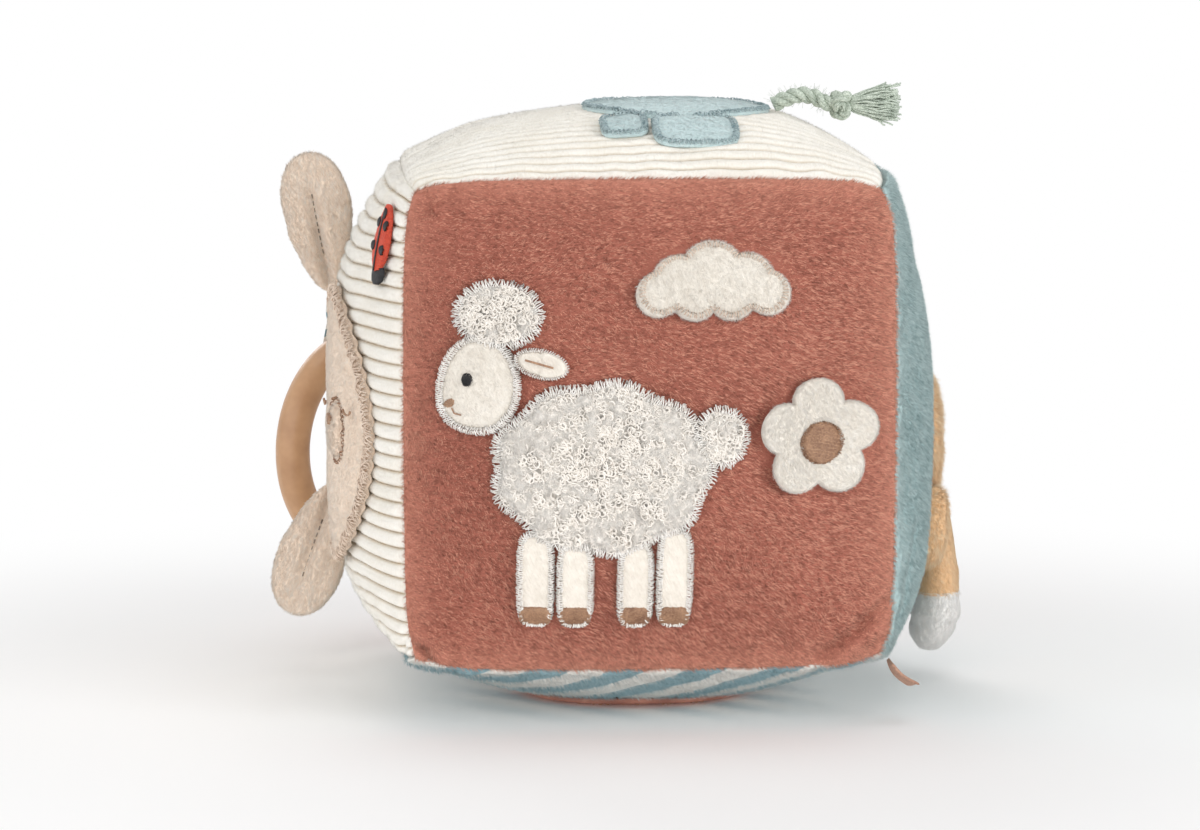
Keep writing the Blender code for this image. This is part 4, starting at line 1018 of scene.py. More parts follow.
def panel_height(face, a, b):
    """How far a panel's cloth stands out from the plain skin."""
    edge = np.minimum(HALF - np.abs(a), HALF - np.abs(b))
    run = np.where(HALF - np.abs(a) < HALF - np.abs(b), b, a)
    seed = list(FACES).index(face)
    phase = 2 * np.pi * run / GATHER_PITCH + 2.5 * flat_rumple(run, run * 0, 0.02, seed + 3)
    fade = np.exp(-edge / GATHER_REACH) * (1 - np.exp(-edge / 0.0015))
    height = GATHER * fade * np.sin(phase) * (1 + 0.6 * flat_rumple(a, b, 0.015, seed))
    middle = np.clip(edge / 0.012, 0, 1)
    wide_rumple, fine_rumple = flat_rumple(a, b, 0.028, seed + 20), flat_rumple(a, b, 0.012, seed + 30)
    height += WAVE * middle * (wide_rumple + 0.4 * fine_rumple)
    height += creases(a, b, CREASES[face])
    for node, where in FACE_OF.items():
        if where == face and node not in ("flower_centre", "bear_muzzle"):
            _, centre, (half_width, half_height) = spot(node)
            far = np.hypot((a - centre[0]) / half_width, (b - centre[1]) / half_height) - 1
            off = far * (half_width + half_height) / 2
            height -= DIP * np.where(off < 0, 1, np.exp(-(off / DIP_WIDTH) ** 2))
    if PANELS[face][0] is CORDUROY:
        return height + 0.00005 * flat_rumple(a * 1.5, b, 0.0008, 7)
    return height + CLUMP * (flat_rumple(a, b, 0.0021, 9) + 0.7 * flat_rumple(a, b, 0.0011, 10))


def add_panel(face):
    """One sewn panel: its dressed skin, rolled into the seams, and a plain lining that closes it."""
    material, slot, lean = PANELS[face]
    normal, across, up, _, _ = FACES[face]
    ribbed = material is CORDUROY
    lines, ridge = wale_rows() if ribbed else (np.linspace(-HALF, HALF, 281), np.ones(281))
    a, b = np.meshgrid(np.linspace(-HALF, HALF, 141 if ribbed else 281), lines)
    rows, columns = a.shape
    ridge = np.repeat(ridge[:, None], columns, axis=1)
    if ribbed:
        b = b + wale_shift(face, a, b)
    shown = np.clip(np.minimum(HALF - np.abs(a), HALF - np.abs(b)) / 0.0016, 0, 1) if ribbed else 0 * a
    height = panel_height(face, a, b) + WALE_HEIGHT * (ridge - 0.7) * shown
    # How deep in a groove each point lies, for the painted shade of the corduroy's grooves.
    groove_shade = (1 - ridge) * shown
    w_a = np.clip(1 - (HALF - np.abs(a)) / ROLL_WIDTH, 0, 1) ** 2
    w_b = np.clip(1 - (HALF - np.abs(b)) / ROLL_WIDTH, 0, 1) ** 2
    outward = (w_a * np.sign(a))[..., None] * across + (w_b * np.sign(b))[..., None] * up
    rolled = np.maximum(w_a, w_b)
    depth = ROLL_DEPTH if ribbed else PILE_ROLL_DEPTH
    points = over(face, a, b, height * (1 - rolled)) - unit(normal + outward) * (depth * rolled)[..., None]
    if not ribbed:
        lap = np.sqrt(np.clip(rolled, 0, 1)) * (1 - rolled)
        points = points + unit(outward + 1e-9 * normal) * (OVERHANG * 2.6 * lap)[..., None]
    if face == "bottom":
        points[..., 2] = np.maximum(points[..., 2], CENTRE[2] - REST_DEPTH)
    index = np.arange(rows * columns).reshape(rows, columns)
    loop = rim_of(index)
    border_a, border_b = a.ravel()[loop], b.ravel()[loop]
    rings = [CENTRE + (skin(face, border_a * s, border_b * s) - CENTRE) * LINING_SHARE
             for s in (0.995, 0.6, 0.2)]
    middle = CENTRE + (skin(face, 0.0, 0.0) - CENTRE) * LINING_SHARE
    total = rows * columns
    everything = np.concatenate([points.reshape(-1, 3), *rings, middle.reshape(1, 3)])
    lining = np.concatenate([loop[None], total + np.arange(3 * len(loop)).reshape(3, -1)])
    lining = np.concatenate([lining, lining[:, :1]], axis=1)
    walls = np.stack([lining[:-1, :-1], lining[1:, :-1], lining[1:, 1:], lining[:-1, 1:]],
                     axis=-1).reshape(-1, 4)
    quads = sheet_of(rows, columns)
    closing = fan(len(everything) - 1, lining[-1, :-1], flip=True)
    extra = len(everything) - total
    far = np.minimum(HALF - np.abs(a), HALF - np.abs(b)).ravel()
    attributes = {
        "place": np.concatenate([np.column_stack([a.ravel(), b.ravel(), 0 * a.ravel()]),
                                 np.zeros((extra, 3))]),
        "groove_shade": np.concatenate([groove_shade.ravel(), np.zeros(extra)]),
        # seam is 1 at the seams and fades inwards; the plain velours paint a highlight there.
        "seam": np.concatenate([np.exp(-far / 0.0042), np.zeros(extra)]),
    }
    mesh = build_mesh(face + "_cloth", everything, [quads, walls, closing], attributes)
    piece = settle(face + "_cloth", mesh, material, slot, nodes=(face + "_panel",))
    OUTER_FACES[piece.name] = len(quads)
    seed = list(FACES).index(face) + 1
    if ribbed:
        add_pile(piece, 46000, 0.0007, 0.00011, lean, stand=0.6, seed=seed, face=face)
    else:
        add_pile(piece, PILE_COUNTS[face], 0.0015, 0.00018, lean, stand=0.52, seed=seed, face=face,
                 contrast=1.3)


def add_lamb():
    """A lamb in profile, looking left, and a cloud: looped fleece, felt and stitching."""
    rng = np.random.default_rng(11)
    for number in range(1, 5):
        add_leg(f"lamb_leg_{number}", rng)
    _, _, size = spot("lamb_fleece")
    add_fleece("lamb_fleece", scalloped(*size, 9, 0.035), 0.0044, 1500, 21)
    _, _, size = spot("lamb_tail")
    add_fleece("lamb_tail", ellipse(size[0] * 1.15, size[1] * 1.1), 0.0040, 110, 23, shift=(-0.0012, 0.0))
    add_lamb_head(rng)
    _, _, size = spot("lamb_topknot")
    add_fleece("lamb_topknot", ellipse(size[0] * 1.1, size[1] * 1.15), 0.0044, 230, 22, shift=(0.0, -0.0014))

    face, centre, size = spot("lamb_ear")
    outline = ellipse(size[0] * 1.05, size[1] * 1.1, -0.22)
    add_pad("lamb_ear_felt", face, centre, outline, 0.0024, FUR, "cream_felt", count=60, rings=12,
            lift=lambda share, angle: 0.0016 * share ** 2 * (np.cos(angle) > 0), nodes=("lamb_ear",))
    add_border("lamb_ear_edge", (face, centre), outline, 0.0030, 0.0012, 0.00030, 0.00014, FELT_STITCH, rng,
               hairy=0.12)
    ends = [(centre[0] + x * size[0], centre[1] + y * size[1]) for x, y in ((-0.62, 0.34), (0.5, -0.3))]
    add_line("lamb_ear_line", face, ends, 0.0034)

    face, centre, size = spot("cloud")
    cloud = add_pad("cloud_felt", face, centre, lobes(*size, *CLOUD_LOBES), 0.0018, FUR, "cream_felt",
                    dome=0.3, round_width=0.0016, lumps=0.00012, rings=30, count=240, nodes=("cloud",))
    add_pile(cloud, 9000, 0.0011, 0.00010, (0.3, 0, -0.6), stand=0.42, seed=25, contrast=0.6)
    inner = lobes(size[0] - 0.0013, size[1] - 0.0013, *CLOUD_LOBES)
    add_border("cloud_stitches", (face, centre), inner, 0.0027, 0.0016, 0.00075, 0.00017,
               (BEIGE_THREAD, "cream_felt"), rng, slant=0.1, hairy=0.08)


def add_leg(node, rng):
    """One felt leg, tucked in under the fleece, with a satin-stitched hoof."""
    face, middle, (half, tall) = spot(node)
    middle, tall = (middle[0], middle[1] + LEG_TUCK), tall + LEG_TUCK
    outline = rounded_box(half, tall)
    add_pad(node + "_felt", face, middle, outline, 0.0016, FUR, "cream_felt", count=72, rings=14, dome=0.2,
            nodes=(node,))
    add_border(node + "_edge", (face, middle), outline, 0.0021, 0.0019, 0.00030, EDGE_RADIUS, FELT_STITCH,
               rng, hairy=0.12)
    hoof = (middle[0], middle[1] - tall + HOOF_HALF_HEIGHT)
    add_satin(node + "_hoof", (face, hoof), rounded_box(half * 0.98, HOOF_HALF_HEIGHT), 0.0020, math.pi / 2,
              0.00030, 0.00018, TAN_STITCH, rng)


def add_lamb_head(rng):
    """A felt head that swells to its nose, with an eye, a nose and a mouth."""
    face, centre, size = spot("lamb_head")
    outline = muzzled(*size, math.radians(214), 0.16, 0.55)
    head = add_pad("lamb_head_felt", face, centre, outline, 0.0018, FUR, "cream_felt", dome=0.45,
                   round_width=0.0020, lumps=0.0001, nodes=("lamb_head",))
    add_pile(head, 5000, 0.0007, 0.00009, (-0.4, 0, -0.6), stand=0.4, seed=24, contrast=0.6)
    add_border("lamb_head_edge", (face, centre), outline, 0.0024, 0.0022, 0.00028, EDGE_RADIUS, FELT_STITCH,
               rng, hairy=0.12)
    top = 0.0030
    eye = (centre[0] - 0.28 * size[0], centre[1] + 0.10 * size[1])
    add_satin("lamb_eye", (face, eye), ellipse(0.0013, 0.0016), top, 1.2, 0.00026, 0.00016, BLACK_STITCH, rng)
    nose = (centre[0] - 0.72 * size[0], centre[1] - 0.38 * size[1])
    add_satin("lamb_nose", (face, nose), ellipse(0.0015, 0.0010, 0.5), top - 0.0008, 0.3, 0.00026, 0.00015,
              TAN_STITCH, rng)
    mouth = [(nose[0] + x, nose[1] + y) for x, y in ((0.0006, -0.0012), (0.0012, -0.0026), (0.0030, -0.0030))]
    add_line("lamb_mouth", face, mouth, top - 0.0005, 0.00022)


def add_flower():
    """A plush flower whose loose petals lift off the panel, with a satin-stitched middle."""
    rng = np.random.default_rng(31)
    face, centre, size = spot("flower_petals")
    radius = max(size)
    around = [math.pi / 2 + k * 2 * math.pi / 5 for k in range(5)]
    circles = [(0.57 * math.cos(turn), 0.57 * math.sin(turn), 0.43) for turn in around]

    def lift(share, angle):
        wave = 1 + 0.45 * np.sin(5 * angle + 0.7) + 0.35 * np.sin(2 * angle + 1.9)
        return 0.0016 * share ** 2.5 * wave + 0.0002

    flower = add_pad("flower_felt", face, centre, lobes(radius, radius, *circles, (0, 0, 0.5)), 0.0021, FUR,
                     "cream_felt", lift=lift, lumps=0.0002, rings=34, count=260, round_width=0.0015,
                     nodes=("flower_petals",))
    add_pile(flower, 17000, 0.0011, 0.00012, (0.35, 0, -0.5), stand=0.30, seed=32, swirl=1.2, contrast=0.6)
    _, middle, size = spot("flower_centre")
    size = size * np.array(1.06)
    add_satin("flower_middle", (face, middle), ellipse(*size), 0.0028, 0.0, 0.00036, 0.00022, TAN_STITCH, rng,
              arch=0.0004, sides=5, nodes=("flower_centre",))
    add_border("flower_middle_edge", (face, middle), ellipse(*size), 0.0032, 0.0007, 0.0006, 0.00014,
               TAN_STITCH, rng, hairy=0.05)


def add_ladybird():
    """A satin-stitched ladybird with spots."""
    rng = np.random.default_rng(41)
    face, centre, size = spot("ladybird_body")
    base = 0.0008
    add_satin("ladybird_shell", (face, centre), ellipse(size[0] * 0.88, size[1]), base, 0.25, 0.00038,
              0.00024, RED_STITCH, rng, arch=0.0006, sides=5, nodes=("ladybird_body",))
    middle = [(centre[0], centre[1] - size[1]), (centre[0] + 0.0002, centre[1] + 0.9 * size[1])]
    add_line("ladybird_line", face, middle, base + 0.0009, stitch=BLACK_STITCH)
    for number, (across, up) in enumerate(LADYBIRD_SPOT_SHARES):
        place = (centre[0] + across * size[0], centre[1] + up * size[1])
        add_satin(f"ladybird_spot_{number}", (face, place), ellipse(0.0013, 0.0013), base + 0.0007, 1.3,
                  0.00028, 0.00017, BLACK_STITCH, rng)
    face, centre, size = spot("ladybird_head")
    centre = (centre[0], centre[1] + HEAD_TUCK)
    add_satin("ladybird_face", (face, centre), ellipse(size[0] * 0.9, size[1] * 1.2), base - 0.0002, 0.0,
              0.00034, 0.00022, BLACK_STITCH, rng, arch=0.0004, nodes=("ladybird_head",))


def add_bear():
    """A round plush head on the corduroy: knotty border, oval muzzle, closed eyes and a nose."""
    rng = np.random.default_rng(51)
    face, centre, size = spot("bear_head")

    def lift(share, angle):
        height = centre[1] + ellipse(*size)(angle)[1] * share
        return 0.0004 + 0.0004 * share ** 4 * np.cos(2 * np.pi * height * WALES / (2 * HALF) + np.pi)

    head = add_pad("bear_plush", face, centre, ellipse(*size), 0.0015, BEIGE, "beige_plush", dome=0.2,
                   lift=lift, round_width=0.0022, lumps=0.0003, lump_size=0.006, rings=60, count=300,
                   nodes=("bear_head",))
    add_pile(head, 30000, 0.0011, 0.00014, (0, 0.4, -0.8), stand=0.28, seed=52, contrast=0.7)
    edge = border_paths(face, centre, ellipse(size[0] - 0.0006, size[1] - 0.0006), 0.0026, 0.0034, 0.00040,
                        rng, slant=0.6, hairy=0.35)
    edge = edge + FACES[face][0] * (0.0006 * rumple(edge[:, :1], 0.0024, 54))[..., None]
    add_threads("bear_edge", edge, 0.00022, BEIGE_THREAD, "beige_plush", sides=4)
    _, middle, half = spot("bear_muzzle")
    muzzle = add_pad("bear_muzzle_plush", face, middle, ellipse(*half), 0.0030, BEIGE, "beige_plush",
                     dome=0.45, round_width=0.0030, nodes=("bear_muzzle",))
    add_pile(muzzle, 4000, 0.0010, 0.00011, (0, 0.2, -0.8), seed=53, contrast=0.7)
    add_border("bear_muzzle_edge", (face, middle), ellipse(half[0] + 0.0008, half[1] + 0.0008), 0.0026,
               0.0010, 0.00075, 0.00017, (TAN_THREAD, "beige_plush"), rng, slant=1.6, hairy=0.12)
    nose = (middle[0], middle[1] + 0.40 * half[1])
    add_satin("bear_nose", (face, nose), ellipse(0.0022, 0.0015), 0.0044, 0.0, 0.00034, 0.0002, TAN_STITCH,
              rng)
    for number, shift in enumerate((-1.9, 1.9)):
        eye = (middle[0] + shift * half[0], middle[1] + 0.9 * half[1])
        turns = np.linspace(3.3, 6.1, 7)
        lid = [(eye[0] + 0.0026 * math.cos(turn), eye[1] + 0.0016 * math.sin(turn)) for turn in turns]
        add_line(f"bear_eye_{number}", face, lid, 0.0034, steps=20)


def add_top_shape():
    """The flat blue shape on the top with its two stitched feet, which run on under it."""
    rng = np.random.default_rng(61)
    for node, outline_of, count in TOP_PARTS:
        face, centre, size = spot(node)
        if outline_of is rounded_box:
            centre, size = (centre[0], centre[1] + FOOT_TUCK), (size[0], size[1] + FOOT_TUCK)
        # Its paler blue is painted sheen.
        piece = add_pad(node + "_plush", face, centre, outline_of(*size), 0.0009, SHEEN_LIT_BLUE, "blue_velour",
                        round_width=0.0016, lumps=0.00018, lump_size=0.002, rings=36, count=180,
                        nodes=(node,))
        add_pile(piece, count, 0.0009, 0.00014, (0.6, -0.6, 0), stand=0.22, seed=62, contrast=0.7)
        inner = outline_of(size[0] - 0.0008, size[1] - 0.0008)
        edge = border_paths(face, centre, inner, 0.0015, 0.0020, 0.00056, rng, slant=0.5, hairy=0.2)
        for other, _, _ in TOP_PARTS:
            if other != node:
                edge = edge[~under_top_part(edge[:, 2], face, other)]
        add_threads(node + "_edge", edge, 0.00015, SILVER_THREAD, "blue_velour", sides=3)


def under_top_part(points, face, node):
    """Which points lie under another part of the shape on the top."""
    _, middle, half = spot(node)
    x, y = ((points - CENTRE) @ FACES[face][i] - middle[i - 1] for i in (1, 2))
    if node == "top_applique":
        return (x / half[0]) ** 2 + (y / half[1]) ** 2 < 0.98
    return (np.abs(x) < half[0] - 0.001) & (np.abs(y) < half[1] + 2 * FOOT_TUCK)


TOP_PARTS = (
    ("top_applique", ellipse, 18000),
    ("top_foot_small", rounded_box, 3600),
    ("top_foot_large", rounded_box, 7000),
)


def add_animal():
    """The caramel plush animal on the right, seen from behind, with its loose flap."""
    rng = np.random.default_rng(71)
    for node, thickness, count in (("animal_body", 0.0042, 16000), ("animal_head", 0.0040, 6000)):
        face, centre, size = spot(node)
        piece = add_pad(node + "_plush", face, centre, ellipse(*size), thickness * 0.8, CARAMEL,
                        "caramel_plush", dome=0.35, round_width=0.0035, lumps=0.0003, lump_size=0.004,
                        rings=36, count=200, nodes=(node,))
        add_pile(piece, count, 0.0022, 0.00014, (0, 0.2, -0.9), seed=72)
        add_border(node + "_edge", (face, centre), ellipse(size[0] + 0.0002, size[1] + 0.0002), 0.0013,
                   0.0022, 0.0005, 0.00018, TAN_STITCH, rng, hairy=0.15)
    for node, turn in (("animal_ear_front", 96), ("animal_ear_back", 12)):
        face, centre, size = spot(node)
        outline = ellipse(0.0050, 0.0034, math.radians(turn))
        piece = add_pad(node + "_plush", face, centre, outline, 0.0022, CARAMEL, "caramel_plush", dome=0.3,
                        round_width=0.0015, rings=16, count=72, nodes=(node,))
        add_pile(piece, 1400, 0.0018, 0.00013, (0, 0, 0.8), seed=73)
    face, centre, size = spot("side_flap")
    hinge = np.array(BODIES["flap_lift"]["pos_m"])
    bend = (hinge + Z * FLAP_BEND * 0.2, hinge - Z * FLAP_BEND)
    flap = add_pad("side_flap_plush", face, centre, ellipse(*size), 0.0046, CARAMEL, "caramel_plush",
                   dome=0.2, round_width=0.0028, lumps=0.0003, lump_size=0.003, body="flap",
                   nodes=("side_flap",), bend=bend)
    add_pile(flap, 4000, 0.0020, 0.00014, (0, 0, -0.9), seed=74, body="flap", bend=bend)


def ear_frame(name):
    """An ear's root and its directions, from the joint that it flops on."""
    joint = BODIES[name + "_flop"]
    root, across = np.array(joint["pos_m"]), unit(np.array(joint["axis"], dtype=float))
    low, high = (np.array(corner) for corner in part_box(name + "_front"))
    low_back, high_back = (np.array(corner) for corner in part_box(name + "_back"))
    middle = (np.minimum(low, low_back) + np.maximum(high, high_back)) / 2
    along = middle - root
    along = unit(along - (along @ across) * across)
    through = np.cross(along, across)
    return root, along, across, through if through[1] > 0 else -through


def add_ear(name, seed):
    """A stuffed plush ear, pinched at its root, with a stitched crease down its front."""
    root, along, across, through = ear_frame(name)
    middle = root + along * EAR_LENGTH / 2
    rows, count = 72, 112
    angle = np.linspace(0, np.pi, rows)[1:-1, None]
    around = (np.arange(count) * 2 * np.pi / count)[None]
    share = 0.5 - 0.5 * np.cos(angle)
    swell = (1 - EAR_NARROWING * (1 - share)) / (1 - EAR_NARROWING * 0.4)
    half = np.sin(angle) * swell * EAR_HALF_WIDTH
    x = half * np.cos(around)
    depth = EAR_HALF_THICKNESS * np.sin(angle) * np.sign(np.sin(around)) * np.abs(np.sin(around)) ** 0.85
    front = np.clip(-np.sin(around), 0, 1)
    pinch = np.exp(-(x / 0.0018) ** 2) * np.clip(np.sin(angle), 0, 1) ** 0.5
    depth = depth + 0.0026 * front * pinch * np.clip(1.25 - share, 0, 1)
    lengthwise = -np.cos(angle) * EAR_LENGTH / 2
    points = (middle + x[..., None] * across + depth[..., None] * through
              + (lengthwise + 0 * x)[..., None] * along)
    normal = unit(x[..., None] / half[..., None] * across + np.sign(depth)[..., None] * 0.7 * through)
    bumps = 0.0005 * rumple(points, 0.0065, seed) + 0.0002 * rumple(points, 0.0022, seed + 1)
    seam = 0.0006 * np.exp(-(np.sin(around) / 0.12) ** 2)
    points = points + normal * (bumps - seam)[..., None] * np.sin(angle)[..., None]
    ends = np.array([middle - along * EAR_LENGTH / 2, middle + along * EAR_LENGTH / 2])
    flat = np.concatenate([points.reshape(-1, 3), ends])
    groups = tube_faces(rows - 2, count)
    if np.cross(across, through) @ along < 0:
        groups = [group[:, ::-1] for group in groups]
    place = np.column_stack([(flat - root) @ across, (flat - root) @ along, (flat - root) @ through])
    mesh = build_mesh(name + "_cloth", flat, groups, {"place": place})
    bend = (root - along * 0.001, root + along * 0.007)
    nodes = (name + "_front", name + "_back", name + "_wadding")
    piece = settle(name + "_cloth", mesh, BEIGE, "beige_plush", body=name, nodes=nodes, bend=bend)
    OUTER_FACES[piece.name] = len(groups[0])
    add_pile(piece, 30000, 0.0014, 0.00015, along, stand=0.24, seed=seed, swirl=0.4, contrast=0.6, body=name,
             bend=bend)
    marks = np.linspace(-0.20, 0.20, 9)[:, None] + np.linspace(-0.015, 0.015, 4)[None]
    dip = EAR_HALF_THICKNESS * np.sin(np.arccos(-2 * marks)) - 0.0021 * np.clip(0.75 - marks, 0, 1)
    paths = middle + marks[..., None] * EAR_LENGTH * along - dip[..., None] * through
    add_threads(name + "_crease", paths, 0.00022, GREY_THREAD, "beige_plush", body=name)


def add_tail():
    """A stuffed tail that hangs from the animal's lower edge: caramel with a longer white tip."""
    low, high = (np.array(corner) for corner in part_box("tail_upper"))
    pivot = BODIES["tail_lift"]["pos_m"]
    top_z = high[2]
    centre_y = (low[1] + high[1]) / 2
    top_x = high[0] - belly_reach()
    bend = (np.array((pivot[0], centre_y, top_z + 0.001)), np.array((pivot[0], centre_y, top_z - 0.006)))
    runs = (
        ("tail_upper", 0.0, TAIL_TIP_SHARE + 0.02, CARAMEL, "caramel_plush", 14000, 0.0016),
        ("tail_tip", TAIL_TIP_SHARE, 1.0, WHITE, "white_plush", 16000, 0.0018),
    )
    for name, start, stop, material, slot, count, length in runs:
        rows, around = 46, 90
        shares = np.linspace(start, stop, rows)[:, None]
        turn = (np.arange(around) * 2 * np.pi / around)[None]
        swell = np.interp(shares, *zip(*TAIL_SWELLS))
        rounded = np.sqrt(np.clip(1 - ((shares - TAIL_ROUND_FROM) / (1 - TAIL_ROUND_FROM)) ** 2, 0, 1))
        full = np.interp(TAIL_ROUND_FROM, *zip(*TAIL_SWELLS))
        swell = np.where(shares > TAIL_ROUND_FROM, (full - 0.02) * rounded + 0.02, swell)
        sag = TAIL_BELLY_SHARE * TAIL_HALF_THICKNESS * np.sin(np.pi * shares)
        x = top_x + sag + TAIL_HALF_THICKNESS * swell * np.cos(turn)
        y = centre_y + TAIL_HALF_WIDTH * swell * np.sin(turn)
        z = top_z - TAIL_LENGTH * shares + 0 * x
        points = np.stack([x, y, z], axis=-1)
        outward = unit(np.stack([np.cos(turn) + 0 * z, np.sin(turn) + 0 * z, 0 * z], axis=-1))
        points = points + outward * (0.0006 * rumple(points, 0.006, 81))[..., None]
        flat = np.concatenate([points.reshape(-1, 3), points[0].mean(axis=0)[None],
                               points[-1].mean(axis=0)[None]])
        groups = tube_faces(rows, around, flip=True)
        mesh = build_mesh(name + "_cloth", flat, groups, {"place": flat - CENTRE})
        piece = settle(name + "_cloth", mesh, material, slot, body="tail", nodes=(name,), bend=bend)
        OUTER_FACES[piece.name] = len(groups[0])
        add_pile(piece, count, length, 0.00015, (0.2, 0, -0.9), stand=0.18, seed=82, contrast=0.5,
                 body="tail", bend=bend)


def belly_reach():
    """How far the tail's outermost point stands from its root's middle."""
    shares = np.linspace(0, TAIL_TIP_SHARE, 60)
    swell = np.interp(shares, *zip(*TAIL_SWELLS))
    return (TAIL_HALF_THICKNESS * (TAIL_BELLY_SHARE * np.sin(np.pi * shares) + swell)).max()


def smooth_route(route, steps):
    """Points of the smooth curve that passes through a route's own points."""
    route = [np.array(point) for point in route]
    ends = [route[0] * 2 - route[1], *route, route[-1] * 2 - route[-2]]
    points = []
    for before, start, stop, after in zip(ends, ends[1:], ends[2:], ends[3:]):
        for t in np.arange(steps) / steps:
            square = before * 2 - start * 5 + stop * 4 - after
            cube = start * 3 - before - stop * 3 + after
            points.append((start * 2 + (stop - before) * t + square * t ** 2 + cube * t ** 3) / 2)
    return np.array(points + [route[-1]])


def twisted(path, radius, pitch, rng, yarns=9):
    """Yarn paths of a three-strand rope laid along a path, each strand twisted the other way."""
    along = unit(np.gradient(path, axis=0))
    side = unit(np.cross(along, np.array((0.2, 0.9, 0.3))))
    other = np.cross(along, side)
    run = np.concatenate([[0], np.cumsum(np.linalg.norm(np.diff(path, axis=0), axis=1))])
    radius = np.broadcast_to(radius, run.shape)[:, None]
    strand = radius * 0.52
    paths = []
    for k in range(3):
        turn = 2 * np.pi * run / pitch + k * 2 * np.pi / 3
        core = path + (side * np.cos(turn)[:, None] + other * np.sin(turn)[:, None]) * radius * 0.50
        paths.append(core)
        for yarn in range(yarns):
            back = -2 * np.pi * run / (pitch * 2.4) + yarn * 2 * np.pi / yarns + rng.uniform(0, 0.3)
            ring = (side * np.cos(back)[:, None] + other * np.sin(back)[:, None]) * strand * 0.66
            paths.append(core + ring)
    return np.array(paths), float(radius[0, 0]) * 0.52 * 0.30


def stray_paths(path, radius, count, length, rng):
    """Short loose fibres that stand off a rope."""
    at = rng.integers(1, len(path) - 1, count)
    way = unit(rng.normal(0, 1, (count, 3)))
    start = path[at] + way * radius * 0.8
    bend = unit(way + rng.normal(0, 0.8, (count, 3)))
    steps = np.linspace(0, 1, 4)[None, :, None]
    return start[:, None] + way[:, None] * steps * length * 0.5 + bend[:, None] * steps ** 2 * length * 0.5


def add_rope():
    """A twisted sage rope, knotted near its frayed end. Its own yarns run on through the knot."""
    rng = np.random.default_rng(91)
    low, high = (np.array(corner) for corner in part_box("rope_knot"))
    middle, half = (low + high) / 2, (high - low) / 2
    fray_low, fray_high = (np.array(corner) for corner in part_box("rope_tassel"))
    fray_middle = (fray_low + fray_high) / 2
    start = np.array((fray_low[0] - 0.0012, fray_middle[1], fray_middle[2]))
    end = np.array((fray_high[0] - 0.0010, fray_middle[1], fray_middle[2]))
    route = smooth_route([*ROPE_ROUTE, middle - CENTRE, start - CENTRE, end - CENTRE], 16) + CENTRE
    radius = np.interp(route[:, 0], (middle[0] - half[0], middle[0], start[0], end[0]),
                       ROPE_DIAMETER / 2 * np.array((1.0, 0.7, 0.7, 1.5)))
    paths, yarn = twisted(route, radius, ROPE_PITCH, rng)
    rope = add_threads("rope_yarns", paths, yarn, ROPE, "sage_rope", sides=6, body="rope",
                       nodes=("rope_tail",))
    t = np.linspace(0, 2 * np.pi, 90)
    trefoil = np.stack([np.sin(3 * t) * 0.9, (np.sin(t) + 2 * np.sin(2 * t)) / 3,
                        (np.cos(t) - 2 * np.cos(2 * t)) / 3], axis=-1)
    tube = 0.00165
    paths, yarn = twisted(middle + trefoil * (half - tube), tube, ROPE_PITCH * 0.8, rng)
    knot = add_threads("rope_knot_yarns", paths, yarn, ROPE, "sage_rope", sides=5, body="rope",
                       nodes=("rope_knot",))
    length, spread = end[0] - start[0], (fray_high[2] - fray_low[2]) / 2
    count = 190
    bearing = rng.uniform(0, 2 * np.pi, count)
    share = np.sqrt(rng.random(count))
    steps = np.linspace(0, 1, 11)
    radial = np.stack([0 * bearing, np.cos(bearing), np.sin(bearing)], axis=-1) * share[:, None]
    flare = 0.0016 + (spread * 0.9 - 0.0016) * steps ** 0.75
    wiggle = np.stack([rumple(np.stack([steps * 0.012 + i, 0 * steps, 0 * steps], axis=-1), 0.0035, 92)
                       for i in range(3 * count)]).reshape(count, 3, -1).transpose(0, 2, 1)
    reach = length * rng.uniform(0.8, 1.1, (count, 1, 1))
    frayed = (start + X * steps[None, :, None] * reach + radial[:, None] * flare[None, :, None]
              + wiggle * 0.0010 * steps[None, :, None])
    tassel = add_threads("rope_tassel_yarns", frayed, 0.00026, ROPE, "sage_rope", sides=5, body="rope",
                         nodes=("rope_tassel",))
    shown = route[route[:, 0] < middle[0]]
    add_threads("rope_fibres", stray_paths(shown, ROPE_DIAMETER / 2, 130, 0.0022, rng), 0.00005, ROPE,
                "sage_rope", sides=3, body="rope")


def ring_centre():
    return CENTRE + HALF * (Y - X) + OUTWARD * RING_STANDOFF - Z * RING_DROP


def add_ring():
    """The satin teething ring, with the faint parting line of its mould."""
    rows, count = 180, 44
    turn = (np.arange(rows) * 2 * np.pi / rows)[:, None]
    side = (np.arange(count) * 2 * np.pi / count)[None]
    line = 0.00007 * np.exp(-(np.sin(side) / 0.05) ** 2)
    radius = RING_TUBE_RADIUS + line
    arm = np.cos(turn)[..., None] * ALONG_EDGE + np.sin(turn)[..., None] * Z
    points = (ring_centre() + arm * (RING_RADIUS + radius * np.cos(side))[..., None]
              + (radius * np.sin(side))[..., None] * OUTWARD)
    index = np.arange(rows * count).reshape(rows, count)
    index = np.pad(index, ((0, 1), (0, 1)), mode="wrap")
    quads = np.stack([index[:-1, 1:], index[1:, 1:], index[1:, :-1], index[:-1, :-1]], axis=-1).reshape(-1, 4)
    mesh = build_mesh("ring_body", points.reshape(-1, 3), [quads], {})
    settle("ring_body", mesh, RING, "ring_plastic", body="ring", nodes=("ring",))


def ribbon_tube(width):
    angle = width / RING_RADIUS
    away = ALONG_EDGE * math.sin(angle) + Z * math.cos(angle)
    return ring_centre() + away * RING_RADIUS, away


